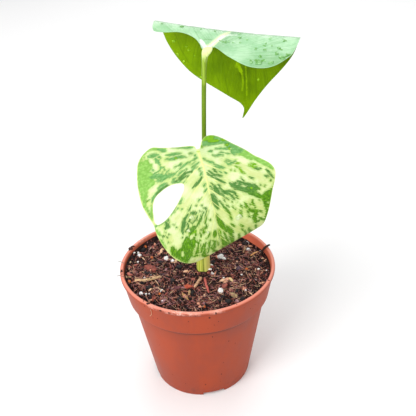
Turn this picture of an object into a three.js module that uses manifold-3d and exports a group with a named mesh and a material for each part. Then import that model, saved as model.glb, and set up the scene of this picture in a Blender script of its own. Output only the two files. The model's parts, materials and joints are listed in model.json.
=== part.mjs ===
// A young variegated monstera in a round plastic nursery pot.
// Units are millimetres, with +Z up. The origin is on the pot's axis, on the plane it stands on.
// The front of the plant, which its lower leaf faces, is towards -Y.

import * as THREE from 'three';
import { mergeVertices } from 'three/addons/utils/BufferGeometryUtils.js';
import Module from 'manifold-3d';

const wasm = await Module();
wasm.setup();

// Driving dimensions of the pot

const RIM_R = 60; // outside of the rolled lip: a 12 cm pot
const POT_H = 102.5;
const LIP_H = 3;
const LIP_W = 2.7;
const LIP_ROUND = 0.7;
const COLLAR_TOP_R = 59;
const COLLAR_LOW_R = 55.3;
const COLLAR_LOW_Z = 79;
const BODY_TOP_R = 52.7;
const BASE_R = 39.2;
const WALL = 1.3;
const FLOOR_T = 1.5;
const FLOOR_RISE = 1.6; // the floor stands clear of the table on its foot ring
const FOOT_W = 3.2;
const PAD_R = 13; // the round pad in the middle of the floor, level with the foot ring
const DRAFT = 0.7; // how far each moulded step leans
const FOOT_GAPS = 4;
const FOOT_GAP_DEG = 26;
const FOOT_GAP_START_DEG = 13; // middle of the first gap, turned from the front towards +X
const DRAIN_HOLES = 8;
const DRAIN_R = 3.5;
const DRAIN_PCD_R = 27;
const POT_FACETS = 60;

// Driving dimensions of the potting mix

const GAP = 0.3; // clearance between touching pieces
const SOIL_Z = 95.8; // mean height of the surface
const SOIL_LEAN_X = -0.022;
const SOIL_LEAN_Y = 0.006;
const SOIL_WAVE = 0.5;
const SOIL_RINGS = [55.5, 46, 36, 26, 17, 8];
const SOIL_SPOKES = 40;
const SOIL_SHOULDER = 4; // depth below the surface at which it leaves the wall

// Driving dimensions of the plant

const STEM_X = 4.6;
const STEM_Y = -1;
const STEM_R = 3.7;
const STEM_LOW_Z = 58;
const STEM_TOP_Z = 96.6;
const SHEATH_R = 5.3;
const SHEATH_WALL = 0.9;
const SHEATH_LOW_Z = 93.5;
const SHEATH_TOP_Z = 118;
const SHEATH_SLIT_DEG = 18;
const SHEATH_TAPER = 0.03; // share of its width that it loses towards its top
const SHEATH_SLANT = 0.9; // its mouth is higher at the back
const PETIOLE_FOOT_R = 1.8;
const BLADE_T = 0.7;
const BLADE_CELL = 8;
const BLADE_TURN_DEG = 15; // most that one row of a blade's facets may turn from the last

const rad = THREE.MathUtils.degToRad;

// Solids: three.js geometry goes in, is joined or cut, and comes back as geometry

function toSolid(geometry) {
  const bare = new THREE.BufferGeometry();
  bare.setAttribute('position', geometry.getAttribute('position').clone());
  if (geometry.index) bare.setIndex(geometry.index.clone());
  const merged = mergeVertices(bare, 1e-4);
  const vertProperties = new Float32Array(merged.getAttribute('position').array);
  const triVerts = new Uint32Array(merged.index.array);
  return new wasm.Manifold(new wasm.Mesh({ numProp: 3, vertProperties, triVerts }));
}

function toGeometry(solid) {
  const mesh = solid.getMesh();
  const geometry = new THREE.BufferGeometry();
  geometry.setAttribute('position', new THREE.BufferAttribute(mesh.vertProperties, 3));
  geometry.setIndex(new THREE.BufferAttribute(mesh.triVerts, 1));
  return geometry;
}

const placed = (geometry, x, y, z) => geometry.translate(x, y, z);

// A repeatable number from 0 to 1 for the nth choice about a piece

function pick(seed, n) {
  const wave = Math.sin(seed * 127.1 + n * 311.7) * 43758.5453;
  return wave - Math.floor(wave);
}

// Heights and radii that more than one piece needs

function soilHeight(x, y) {
  const wave = Math.sin(x / 9 + 1) * Math.cos(y / 11);
  return SOIL_Z + SOIL_LEAN_X * x + SOIL_LEAN_Y * y + SOIL_WAVE * wave;
}

const COLLAR_TOP_Z = POT_H - LIP_H;
const BODY_INNER = [
  [RIM_R - LIP_W - DRAFT / 4, COLLAR_TOP_Z],
  [COLLAR_LOW_R - WALL, COLLAR_LOW_Z + WALL],
  [BODY_TOP_R - WALL, COLLAR_LOW_Z - WALL],
  [BASE_R - WALL + DRAFT, FLOOR_RISE + FLOOR_T],
];

function innerRadius(z) {
  for (let i = 1; i < BODY_INNER.length; i += 1) {
    const [upperR, upperZ] = BODY_INNER[i - 1];
    const [lowerR, lowerZ] = BODY_INNER[i];
    if (z >= lowerZ) return lowerR + ((upperR - lowerR) * (z - lowerZ)) / (upperZ - lowerZ);
  }
  return BODY_INNER[BODY_INNER.length - 1][0];
}

// The pot: one moulded shell, with gaps in its foot ring and drain holes in its floor

function potGeometry() {
  const profile = [
    [0, 0],
    [PAD_R, 0],
    [PAD_R + DRAFT, FLOOR_RISE],
    [BASE_R - FOOT_W - DRAFT, FLOOR_RISE],
    [BASE_R - FOOT_W, 0],
    [BASE_R, 0],
    [BODY_TOP_R, COLLAR_LOW_Z],
    [COLLAR_LOW_R - DRAFT / 3, COLLAR_LOW_Z + DRAFT / 3],
    [COLLAR_LOW_R, COLLAR_LOW_Z + DRAFT],
    [COLLAR_TOP_R, COLLAR_TOP_Z],
    [RIM_R - LIP_ROUND / 3, COLLAR_TOP_Z + LIP_ROUND / 3],
    [RIM_R, COLLAR_TOP_Z + LIP_ROUND],
    [RIM_R, POT_H - LIP_ROUND],
    [RIM_R - LIP_ROUND / 3, POT_H - LIP_ROUND / 3],
    [RIM_R - LIP_ROUND, POT_H],
    [RIM_R - LIP_W + LIP_ROUND, POT_H],
    [RIM_R - LIP_W, POT_H - LIP_ROUND],
    ...BODY_INNER,
    [0, FLOOR_RISE + FLOOR_T],
  ];
  const points = profile.map(([r, z]) => new THREE.Vector2(r, z));
  let pot = toSolid(new THREE.LatheGeometry(points, POT_FACETS).rotateX(Math.PI / 2));
  const gapWidth = 2 * BASE_R * Math.sin(rad(FOOT_GAP_DEG / 2));
  const gapReach = FOOT_W * 3;
  for (let i = 0; i < FOOT_GAPS; i += 1) {
    const gap = new THREE.BoxGeometry(gapWidth, gapReach, FLOOR_RISE * 2);
    gap.translate(0, -BASE_R + FOOT_W - gapReach / 4, -DRAFT / 6);
    gap.rotateZ(rad(FOOT_GAP_START_DEG + (i * 360) / FOOT_GAPS));
    pot = pot.subtract(toSolid(gap));
  }
  for (let i = 0; i < DRAIN_HOLES; i += 1) {
    const hole = new THREE.CylinderGeometry(DRAIN_R, DRAIN_R, FLOOR_T * 4, 14);
    hole.rotateX(Math.PI / 2).translate(0, -DRAIN_PCD_R, FLOOR_RISE + FLOOR_T / 2);
    hole.rotateZ(rad(FOOT_GAP_START_DEG + (i * 360) / DRAIN_HOLES));
    pot = pot.subtract(toSolid(hole));
  }
  return toGeometry(pot);
}

// The potting mix: rings down the pot's inner wall, closed by a gently uneven surface

function soilGeometry(buried) {
  const wallRings = BODY_INNER.slice(1).reverse();
  const positions = [];
  const ring = (radius, height) => {
    for (let i = 0; i < SOIL_SPOKES; i += 1) {
      const turn = (i / SOIL_SPOKES) * Math.PI * 2;
      const x = radius * Math.cos(turn);
      const y = radius * Math.sin(turn);
      positions.push(x, y, height ?? soilHeight(x, y));
    }
  };
  for (const [radius, z] of wallRings) ring(radius - GAP, z + GAP);
  const shoulderZ = SOIL_Z - SOIL_SHOULDER;
  ring(innerRadius(shoulderZ) - GAP, shoulderZ);
  for (const radius of SOIL_RINGS) ring(radius, null);
  const rings = positions.length / 3 / SOIL_SPOKES;
  const lowCentre = positions.length / 3;
  positions.push(0, 0, FLOOR_RISE + FLOOR_T + GAP);
  const topCentre = lowCentre + 1;
  positions.push(0, 0, soilHeight(0, 0));
  const index = [];
  for (let i = 0; i < SOIL_SPOKES; i += 1) {
    const next = (i + 1) % SOIL_SPOKES;
    index.push(lowCentre, next, i);
    const last = (rings - 1) * SOIL_SPOKES;
    index.push(topCentre, last + i, last + next);
    for (let j = 0; j < rings - 1; j += 1) {
      const a = j * SOIL_SPOKES;
      const b = a + SOIL_SPOKES;
      index.push(a + i, a + next, b + next);
      index.push(a + i, b + next, b + i);
    }
  }
  const geometry = new THREE.BufferGeometry();
  geometry.setAttribute('position', new THREE.Float32BufferAttribute(positions, 3));
  geometry.setIndex(index);
  let soil = toSolid(geometry);
  for (const piece of buried) soil = soil.subtract(toSolid(piece));
  return toGeometry(soil);
}

// A closed tube along a smooth line. stations are [x, y, z, radius]. A grown one is longer too

function tubeGeometry(stations, sides, steps, grow = 0) {
  const line = stations.map(([x, y, z]) => new THREE.Vector3(x, y, z));
  const away = (end, inner) => end.clone().sub(inner).setLength(grow);
  line[0].add(away(line[0], line[1]));
  line.at(-1).add(away(line.at(-1), line.at(-2)));
  const curve = new THREE.CatmullRomCurve3(line);
  const frames = curve.computeFrenetFrames(steps, false);
  const positions = [];
  for (let i = 0; i <= steps; i += 1) {
    const share = curve.getUtoTmapping(i / steps) * (stations.length - 1);
    const low = Math.min(Math.floor(share), stations.length - 2);
    const radius = THREE.MathUtils.lerp(stations[low][3], stations[low + 1][3], share - low) + grow;
    const centre = curve.getPointAt(i / steps);
    for (let k = 0; k < sides; k += 1) {
      const turn = (k / sides) * Math.PI * 2;
      const out = frames.normals[i].clone().multiplyScalar(Math.cos(turn) * radius);
      out.addScaledVector(frames.binormals[i], Math.sin(turn) * radius);
      positions.push(centre.x + out.x, centre.y + out.y, centre.z + out.z);
    }
  }
  const first = curve.getPointAt(0);
  const last = curve.getPointAt(1);
  const firstCap = positions.length / 3;
  positions.push(first.x, first.y, first.z, last.x, last.y, last.z);
  const index = [];
  for (let k = 0; k < sides; k += 1) {
    const next = (k + 1) % sides;
    index.push(firstCap, next, k);
    index.push(firstCap + 1, steps * sides + k, steps * sides + next);
    for (let i = 0; i < steps; i += 1) {
      const a = i * sides;
      const b = a + sides;
      index.push(a + k, a + next, b + next, a + k, b + next, b + k);
    }
  }
  const geometry = new THREE.BufferGeometry();
  geometry.setAttribute('position', new THREE.Float32BufferAttribute(positions, 3));
  geometry.setIndex(index);
  return geometry;
}

// The stem: a short cane, mostly below the surface, with the leaf stalks rising from its top

function stemGeometry(grow = 0) {
  const radius = STEM_R + grow;
  const low = STEM_LOW_Z - grow;
  const top = STEM_TOP_Z + grow;
  const round = radius / 2;
  const profile = [
    [0, low],
    [round, low],
    [radius, low + round],
    [radius, top - round / 3],
    [radius - round / 3, top],
    [0, top],
  ];
  const points = profile.map(([r, z]) => new THREE.Vector2(r, z));
  const stem = new THREE.LatheGeometry(points, 16).rotateX(Math.PI / 2);
  return placed(stem, STEM_X, STEM_Y, 0);
}

// The sheath: the pale wing at the foot of the older leaf's stalk, wrapped round both stalks

function sheathGeometry() {
  const shape = new THREE.Shape();
  const front = -Math.PI / 2;
  const half = rad(SHEATH_SLIT_DEG / 2);
  shape.absarc(0, 0, SHEATH_R, front + half, front - half + Math.PI * 2, false);
  shape.absarc(0, 0, SHEATH_R - SHEATH_WALL, front - half + Math.PI * 2, front + half, true);
  shape.closePath();
  const height = SHEATH_TOP_Z - SHEATH_LOW_Z;
  const wrap = new THREE.ExtrudeGeometry(shape, {
    depth: height,
    bevelEnabled: false,
    curveSegments: 22,
    steps: 3,
  });
  const position = wrap.getAttribute('position');
  for (let i = 0; i < position.count; i += 1) {
    const rise = position.getZ(i) / height;
    const narrow = 1 - SHEATH_TAPER * rise;
    const slant = Math.max(0, rise - 0.5) * position.getY(i) * SHEATH_SLANT;
    position.setX(i, position.getX(i) * narrow);
    position.setY(i, position.getY(i) * narrow);
    position.setZ(i, position.getZ(i) + slant);
  }
  return placed(wrap, STEM_X, STEM_Y, SHEATH_LOW_Z);
}

// The leaf stalks: [x, y, z, radius] from the stem's top to the knee below each blade

const STALK_FOOT_Z = STEM_TOP_Z + GAP;
const STALK_APART = PETIOLE_FOOT_R + GAP / 2;

const UPPER_STALK = [
  [STEM_X + STALK_APART, STEM_Y + 0.5, STALK_FOOT_Z, PETIOLE_FOOT_R],
  [STEM_X + STALK_APART, STEM_Y + 0.6, 120, PETIOLE_FOOT_R],
  [7.5, 1.2, 150, 1.75],
  [8.8, 1.9, 190, 1.65],
  [10.4, 2, 236, 1.6],
  [11.6, 1.8, 258, 1.75],
  [12.9, 1.3, 265, 2.5],
  [14, 0.9, 268.3, 2.3],
];

const LOWER_STALK = [
  [STEM_X - STALK_APART, STEM_Y - 0.3, STALK_FOOT_Z, PETIOLE_FOOT_R],
  [STEM_X - STALK_APART, STEM_Y - 0.8, 116, PETIOLE_FOOT_R],
  [3.1, -5, 138, 1.7],
  [3.9, -12, 168, 1.6],
  [4.6, -18.6, 196, 1.7],
  [4.9, -21.8, 206, 2.1],
  [5.1, -24.3, 210.4, 2.1],
];

// A blade starts as a thin dished slab. Its outline, and its hole if it has one, are cut through
// it, and then it is bent over one ridge. Outlines are [across, along] from the stalk's end

const LOWER_BLADE = {
  knee: new THREE.Vector3(5.24, -26, 211.4),
  across: new THREE.Vector3(-0.8877, -0.2019, -0.4139),
  along: new THREE.Vector3(0.4605, -0.3891, -0.7978),
  dish: 0.0002,
  ridge: [
    [-40, 3],
    [0, 0],
    [35, -3],
    [49, -8.5],
    [61.5, -38],
    [73.5, -79],
    [84, -98],
    [112, -106],
  ],
  outline: [
    [0.3, -1.8],
    [0.5, -3.8],
    [2.5, -5.4],
    [11.5, -9.5],
    [20, -14],
    [25, -17],
    [29, -17],
    [34.5, -15.3],
    [38.6, -12.5],
    [42.2, -7.5],
    [45.5, -1.5],
    [48.7, 7],
    [50.3, 14.5],
    [50.4, 21.5],
    [50.2, 28.3],
    [51.3, 32.5],
    [51.9, 38.5],
    [51.7, 45],
    [50.7, 51.5],
    [48.3, 58.5],
    [44.8, 64.5],
    [39, 72],
    [33, 80],
    [28, 88],
    [25, 94],
    [23, 101],
    [20.5, 94],
    [13, 87.5],
    [3, 82],
    [-6, 76],
    [-12.5, 71],
    [-17.5, 63.5],
    [-23, 56],
    [-30, 46.8],
    [-35.6, 40.3],
    [-37.8, 36],
    [-37.3, 31],
    [-34.3, 25.8],
    [-30.5, 20.5],
    [-27.3, 14.5],
    [-21.8, 6.4],
    [-17, -0.8],
    [-13, -4.7],
    [-8.7, -6],
    [-4.6, -4.2],
    [-1.8, -1.2],
  ],
  hole: [
    [19.3, 13.8],
    [24, 11.2],
    [28.5, 10.4],
    [34, 10.9],
    [39.7, 12.5],
    [43, 15.3],
    [45.3, 18.8],
    [47.2, 23],
    [48.5, 26.8],
    [47.8, 28.8],
    [44, 29.2],
    [39.5, 28.2],
    [34, 25.8],
    [28.5, 22.8],
    [23.5, 19.4],
    [20.2, 16.6],
  ],
};

const UPPER_BLADE = {
  knee: new THREE.Vector3(15.06, 1, 270.1),
  across: new THREE.Vector3(0.9381, -0.3414, -0.0585),
  along: new THREE.Vector3(0.342, 0.9397, 0),
  dish: -0.0005,
  ridge: [
    [-60, 28],
    [-10, 26],
    [15, 21],
    [23, -10],
    [31, -50],
    [43, -76],
    [60, -82],
    [125, -88],
  ],
  outline: [
    [-2, -1.6],
    [-5, 0.3],
    [-7.5, 4],
    [-12.2, 8.8],
    [-18.9, 12.1],
    [-25.8, 13],
    [-35.7, 10.5],
    [-42, 10.4],
    [-44.3, 13.4],
    [-45.4, 17],
    [-46.6, 21],
    [-47.2, 26],
    [-46.8, 33],
    [-45.6, 39.3],
    [-43.8, 45.5],
    [-39.3, 53.9],
    [-33.4, 61.3],
    [-26.7, 67.7],
    [-18.8, 72.5],
    [-6.4, 78.6],
    [3.2, 83.3],
    [11.5, 87.5],
    [14, 91.2],
    [13.2, 99.5],
    [23.2, 81.7],
    [31.2, 69],
    [39.1, 58.2],
    [44.4, 50.4],
    [48.3, 43.3],
    [51.8, 33.2],
    [54, 26],
    [55, 18.5],
    [54.6, 10.6],
    [53.6, 4.2],
    [51.4, 0.1],
    [45.9, -6.7],
    [40.2, -9.9],
    [32.9, -10.6],
    [26.7, -9.5],
    [13.6, -3.3],
    [1.8, 3.2],
    [0.6, -0.7],
  ],
};

function smoothLoop(points) {
  const corners = points.map(([x, y]) => new THREE.Vector3(x, y, 0));
  const curve = new THREE.CatmullRomCurve3(corners, true, 'centripetal');
  const loop = curve.getPoints(Math.round(points.length * 1.4));
  return loop.slice(0, -1).map((p) => new THREE.Vector2(p.x, p.y));
}

// The ridge's slope at a distance along the blade, eased between the stations given

function slopeAt(ridge, along) {
  let i = 1;
  while (i < ridge.length - 1 && along > ridge[i][0]) i += 1;
  const [lowAlong, lowSlope] = ridge[i - 1];
  const [highAlong, highSlope] = ridge[i];
  const share = THREE.MathUtils.clamp((along - lowAlong) / (highAlong - lowAlong), 0, 1);
  return rad(lowSlope + (highSlope - lowSlope) * share);
}

// The bend: distances along the blade to how far the ridge's profile has run and risen

function profileOf(ridge) {
  const step = 0.25;
  const start = ridge[0][0];
  const end = ridge[ridge.length - 1][0];
  const run = [0];
  const rise = [0];
  for (let along = start + step; along <= end; along += step) {
    const slope = slopeAt(ridge, along - step / 2);
    run.push(run[run.length - 1] + Math.cos(slope) * step);
    rise.push(rise[rise.length - 1] + Math.sin(slope) * step);
  }
  const read = (list, along) => {
    const place = THREE.MathUtils.clamp((along - start) / step, 0, list.length - 1.001);
    const low = Math.floor(place);
    return THREE.MathUtils.lerp(list[low], list[low + 1], place - low);
  };
  return (along) => [read(run, along) - read(run, 0), read(rise, along) - read(rise, 0)];
}

// Rows of facets along a blade, closer together where it turns more

function rowsOf(ridge, low, high) {
  const rows = [low];
  let along = low;
  while (along < high) {
    const from = slopeAt(ridge, along);
    const start = along;
    const turned = () => Math.abs(slopeAt(ridge, along) - from);
    while (along < high && along - start < BLADE_CELL && turned() < rad(BLADE_TURN_DEG)) along += 0.5;
    rows.push(Math.min(along, high));
  }
  return rows;
}

function slabGeometry(columns, rows, thick, dish) {
  const positions = [];
  const index = [];
  const wide = columns.length;
  const face = wide * rows.length;
  for (const side of [0.5, -0.5]) {
    for (const y of rows) {
      for (const x of columns) positions.push(x, y, side * thick - dish * (x * x + 0.4 * y * y));
    }
  }
  const quad = (a, b, c, d) => index.push(a, b, c, a, c, d);
  for (let j = 0; j < rows.length - 1; j += 1) {
    for (let i = 0; i < wide - 1; i += 1) {
      const a = j * wide + i;
      quad(a, a + 1, a + wide + 1, a + wide);
      quad(face + a, face + a + wide, face + a + wide + 1, face + a + 1);
    }
  }
  const top = (rows.length - 1) * wide;
  for (let i = 0; i < wide - 1; i += 1) {
    quad(i, face + i, face + i + 1, i + 1);
    quad(top + i, top + i + 1, face + top + i + 1, face + top + i);
  }
  for (let j = 0; j < rows.length - 1; j += 1) {
    const a = j * wide;
    quad(a, a + wide, face + a + wide, face + a);
    quad(a + wide - 1, face + a + wide - 1, face + a + 2 * wide - 1, a + 2 * wide - 1);
  }
  const geometry = new THREE.BufferGeometry();
  geometry.setAttribute('position', new THREE.Float32BufferAttribute(positions, 3));
  geometry.setIndex(index);
  return geometry;
}

function bladeGeometry(blade) {
  const loop = smoothLoop(blade.outline);
  const shape = new THREE.Shape(loop);
  if (blade.hole) shape.holes.push(new THREE.Path(smoothLoop(blade.hole)));
  const box = new THREE.Box2().setFromPoints(loop).expandByScalar(1);
  const cells = Math.ceil((box.max.x - box.min.x) / BLADE_CELL);
  const width = (box.max.x - box.min.x) / cells;
  const columns = Array.from({ length: cells + 1 }, (_, i) => box.min.x + i * width);
  const rows = rowsOf(blade.ridge, box.min.y, box.max.y);
  const slab = toSolid(slabGeometry(columns, rows, BLADE_T, blade.dish));
  const reach = 30;
  const cutter = new THREE.ExtrudeGeometry(shape, { depth: reach * 2, bevelEnabled: false });
  const geometry = toGeometry(slab.intersect(toSolid(cutter.translate(0, 0, -reach))));
  const profile = profileOf(blade.ridge);
  const lift = blade.across.clone().cross(blade.along).normalize();
  const position = geometry.getAttribute('position');
  const place = new THREE.Vector3();
  for (let i = 0; i < position.count; i += 1) {
    const across = position.getX(i);
    const along = position.getY(i);
    const off = position.getZ(i);
    const slope = slopeAt(blade.ridge, along);
    const [run, rise] = profile(along);
    place.copy(blade.knee).addScaledVector(blade.across, across);
    place.addScaledVector(blade.along, run - off * Math.sin(slope));
    place.addScaledVector(lift, rise + off * Math.cos(slope));
    position.setXYZ(i, place.x, place.y, place.z);
  }
  return geometry;
}

// Loose bits on the surface. Each is made at the origin, turned, and sunk part-way into the mix

function grainGeometry(size, seed, detail, uneven, grow = 0) {
  const grain = new THREE.IcosahedronGeometry(1, detail);
  const position = grain.getAttribute('position');
  const stretch = [1, 0.8 + 0.2 * pick(seed, 1), 0.68 + 0.2 * pick(seed, 2)];
  for (let i = 0; i < position.count; i += 1) {
    const [x, y, z] = [position.getX(i), position.getY(i), position.getZ(i)];
    const bump = 1 + uneven * Math.sin(5 * x + seed) * Math.cos(4 * y - seed) * Math.cos(6 * z);
    position.setXYZ(
      i,
      x * (bump * stretch[0] * size * 0.5 + grow),
      y * (bump * stretch[1] * size * 0.5 + grow),
      z * (bump * stretch[2] * size * 0.5 + grow),
    );
  }
  return grain.rotateZ(pick(seed, 3) * Math.PI);
}

function flakeGeometry(length, width, thick, seed, grow = 0) {
  const corners = 6;
  const shape = new THREE.Shape();
  for (let i = 0; i < corners; i += 1) {
    const turn = (i / corners) * Math.PI * 2 + 0.5 * (pick(seed, i) - 0.5);
    const reach = 0.82 + 0.3 * pick(seed, i + corners);
    const x = Math.cos(turn) * (reach * length * 0.5 + grow);
    const y = Math.sin(turn) * (reach * width * 0.5 + grow);
    if (i === 0) shape.moveTo(x, y);
    else shape.lineTo(x, y);
  }
  const depth = thick + 2 * grow;
  return new THREE.ExtrudeGeometry(shape, { depth, bevelEnabled: false }).translate(0, 0, -depth / 2);
}

// [name, x, y, size, share of its height that is sunk]

const PERLITE = [
  ['perlite_1', 18.7, 15.8, 6, 0.35],
  ['perlite_2', 17, -26.8, 4.8, 0.35],
  ['perlite_3', -25.1, 16, 4.4, 0.35],
  ['perlite_4', -20, 12.6, 2.4, 0.4],
  ['perlite_5', -46.6, 20.6, 3.6, 0.4],
  ['perlite_6', -48.4, 25.2, 2.8, 0.4],
  ['perlite_7', -40.7, -9, 2.4, 0.35],
  ['perlite_8', -42.6, -27.1, 3.6, 0.4],
  ['perlite_9', -36.2, -28.4, 2.4, 0.4],
  ['perlite_10', -27.5, -25.4, 2.8, 0.4],
  ['perlite_11', 40.6, 34.6, 4.4, 0.4],
  ['perlite_12', 41.5, 24.9, 3.6, 0.35],
  ['perlite_13', 10.9, -5.9, 3.6, 0.4],
  ['perlite_14', 1.6, -8, 2.4, 0.4],
  ['perlite_15', 35.8, -27.2, 2.2, 0.4],
];

const BEADS = [
  ['feed_bead_1', 38.2, -0.2, 2.6, 0.4],
  ['feed_bead_2', -28.4, -28.9, 2.4, 0.4],
  ['feed_bead_3', -36.8, 17.7, 2.6, 0.4],
  ['feed_bead_4', -42.9, 33.5, 2.8, 0.4],
  ['feed_bead_5', 4.7, -44.2, 2.4, 0.4],
  ['feed_bead_6', -52.4, -13.4, 3, 0.35],
];

// [name, x, y, length, width, thickness, turn and lean in degrees, colour]

const FLAKES = [
  ['bark_chip_1', -36.4, 3, 10.5, 6.5, 2.2, -12, 14, '#8c4a3c'],
  ['bark_chip_2', -6.4, -20.4, 8.5, 4.2, 1.6, 22, 16, '#a4492f'],
  ['bark_chip_3', -15.4, -22.2, 7.5, 3.6, 1.4, 8, -10, '#6d3a3a'],
  ['bark_chip_4', -52.3, -4.4, 5.6, 4.6, 1.6, 40, 18, '#a05a4c'],
  ['bark_chip_5', 33, 1.2, 7, 5, 2, 30, 8, '#5b4550'],
  ['bark_chip_6', -32.4, -34.4, 3.4, 7, 1.5, -16, 10, '#8a4034'],
  ['wood_chip_1', 25.4, -14.2, 6.4, 2.9, 1.6, -52, 12, '#dcc48c'],
  ['wood_chip_2', 26.4, -32.8, 7.8, 3.8, 1.5, -38, 8, '#a8916c'],
  ['wood_chip_3', -9.8, -32.4, 8.6, 2.4, 1.4, -54, 10, '#c9a56a'],
];

// [name, colour, points as x, y, height above the surface and radius]

const STICKS = [
  ['tan_stick', '#b58a60', [[2.6, -11, 0.6, 0.8], [0.2, -16.8, 1.3, 1], [-2.6, -22, 0.5, 0.8]]],
  ['red_stick', '#9c4a44', [[5.2, -11.6, 0.5, 0.7], [6.3, -20, 1, 0.8], [8, -28.2, 0.3, 0.45]]],
  ['gold_splinter', '#d29a52', [[42.4, 16.4, 0.3, 0.5], [46, 19.4, 1.1, 0.95], [49.4, 21.4, 0.9, 0.7]]],
  ['straw_bent', '#cfa878', [[37.2, 20.6, 0.3, 0.45], [38.8, 27, 1, 0.6], [41.2, 29.9, 0.4, 0.5]]],
  ['straw_clump', '#9c8058', [[-48, -12, 0.6, 0.9], [-40.6, -13, 0.9, 1.1], [-28.4, -7.4, 0.4, 0.7]]],
  ['straw_thin', '#c9a184', [[-55, -8.6, 0.4, 0.4], [-53.2, -8.2, 0.8, 0.5], [-51.4, -8.4, 0.3, 0.5]]],
  ['pale_splinter', '#bf9a6c', [[-6.2, -25.4, 0.4, 0.5], [-6.6, -28.4, 0.9, 0.6], [-6.6, -31, 0.3, 0.5]]],
  ['coir_fibre', '#a07e62', [[18.8, 2.2, 0.3, 0.4], [22.2, 1.2, 0.8, 0.5], [25.6, 1.4, 0.3, 0.4]]],
  [
    'dark_twig',
    '#3d2c24',
    [[50.6, 17, -0.6, 0.55], [52.1, 17.4, 4.7, 0.6], [55, 17, 8.8, 0.6], [58, 17.6, 10, 0.5]],
  ],
];

function sunkGrain([, x, y, size, sink], seed, detail, uneven, grow) {
  const grain = grainGeometry(size, seed, detail, uneven, grow);
  const centre = soilHeight(x, y) + size * 0.38 * (1 - 2 * sink);
  return placed(grain, x, y, centre);
}

function sunkFlake([, x, y, length, width, thick, turn, lean], seed, grow) {
  const flake = flakeGeometry(length, width, thick, seed, grow);
  flake.rotateY(rad(lean)).rotateZ(rad(turn));
  return placed(flake, x, y, soilHeight(x, y) + thick * 0.2);
}

function laidStick(points, grow) {
  const stations = points.map(([x, y, up, radius]) => [x, y, soilHeight(x, y) + up, radius]);
  return tubeGeometry(stations, 6, 4, grow);
}

const littered = [
  ...PERLITE.map((row, i) => ({
    name: row[0],
    colour: '#efece4',
    roughness: 0.95,
    shape: (grow) => sunkGrain(row, i + 1, row[3] > 3 ? 1 : 0, 0.12, grow),
  })),
  ...BEADS.map((row, i) => ({
    name: row[0],
    colour: '#c9692c',
    roughness: 0.4,
    shape: (grow) => sunkGrain(row, i + 31, 1, 0.02, grow),
  })),
  ...FLAKES.map((row, i) => ({
    name: row[0],
    colour: row[8],
    roughness: 0.85,
    shape: (grow) => sunkFlake(row, i + 51, grow),
  })),
  ...STICKS.map(([name, colour, points]) => ({
    name,
    colour,
    roughness: 0.85,
    shape: (grow) => laidStick(points, grow),
  })),
];

// The whole plant

const group = new THREE.Group();

function add(name, geometry, color, roughness) {
  const material = new THREE.MeshStandardMaterial({ color, roughness, metalness: 0 });
  const mesh = new THREE.Mesh(geometry, material);
  mesh.name = name;
  group.add(mesh);
}

function grownSheathHole() {
  const hole = new THREE.CylinderGeometry(SHEATH_R + GAP, SHEATH_R + GAP, 8, 20);
  return placed(hole.rotateX(Math.PI / 2), STEM_X, STEM_Y, SHEATH_LOW_Z - GAP + 4);
}

const buried = [stemGeometry(GAP), grownSheathHole(), ...littered.map((bit) => bit.shape(GAP))];

add('pot', potGeometry(), '#b9573d', 0.45);
add('potting_mix', soilGeometry(buried), '#33211b', 0.95);
add('stem', stemGeometry(), '#b9c778', 0.6);
add('sheath', sheathGeometry(), '#c8d68a', 0.5);
add('upper_petiole', tubeGeometry(UPPER_STALK, 10, 26), '#6f9440', 0.45);
add('lower_petiole', tubeGeometry(LOWER_STALK, 10, 20), '#7a9c48', 0.45);
add('upper_blade', bladeGeometry(UPPER_BLADE), '#8fce9a', 0.4);
add('lower_blade', bladeGeometry(LOWER_BLADE), '#b9dd8c', 0.4);
for (const bit of littered) add(bit.name, bit.shape(0), bit.colour, bit.roughness);

export default group;
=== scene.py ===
"""A young variegated monstera in a round plastic nursery pot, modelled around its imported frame.

The tables below are in millimetres, and MM turns them into Blender's metres. The origin is on the
pot's axis, on the plane it stands on. +Z is up, and the plant faces -Y. A place on a leaf blade is
given flat, as its distance across the blade and its distance along it from the knee.
"""

import json
import logging
import math
from dataclasses import dataclass, field
from enum import Enum

import bpy
import numpy as np
from mathutils import Matrix, Vector, noise
from mathutils.geometry import delaunay_2d_cdt


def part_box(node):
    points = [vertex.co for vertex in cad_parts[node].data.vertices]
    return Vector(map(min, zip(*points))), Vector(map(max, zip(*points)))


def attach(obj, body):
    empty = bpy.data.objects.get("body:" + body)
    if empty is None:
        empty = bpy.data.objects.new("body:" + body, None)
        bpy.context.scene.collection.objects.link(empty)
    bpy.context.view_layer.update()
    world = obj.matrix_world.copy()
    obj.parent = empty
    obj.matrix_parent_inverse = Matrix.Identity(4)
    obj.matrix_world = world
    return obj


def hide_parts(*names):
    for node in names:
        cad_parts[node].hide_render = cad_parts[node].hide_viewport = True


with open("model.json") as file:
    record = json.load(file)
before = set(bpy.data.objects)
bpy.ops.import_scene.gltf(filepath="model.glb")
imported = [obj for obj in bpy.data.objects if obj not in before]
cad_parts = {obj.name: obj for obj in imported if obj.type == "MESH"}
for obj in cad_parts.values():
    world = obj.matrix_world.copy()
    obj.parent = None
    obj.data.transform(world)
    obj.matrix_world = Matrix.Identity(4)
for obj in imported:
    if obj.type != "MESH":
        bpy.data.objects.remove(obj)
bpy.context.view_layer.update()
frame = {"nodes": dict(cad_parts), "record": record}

MM = 0.001
BODY = "root"
LOG = logging.getLogger("potted_plant")

Flat = tuple[float, float]
Place = tuple[float, float, float]
Row = tuple[float, ...]
Colour = tuple[int, int, int]
Stop = tuple[float, Colour]
Faces = list[list[int]]
Object = bpy.types.Object
Material = bpy.types.Material
Socket = bpy.types.NodeSocket


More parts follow.
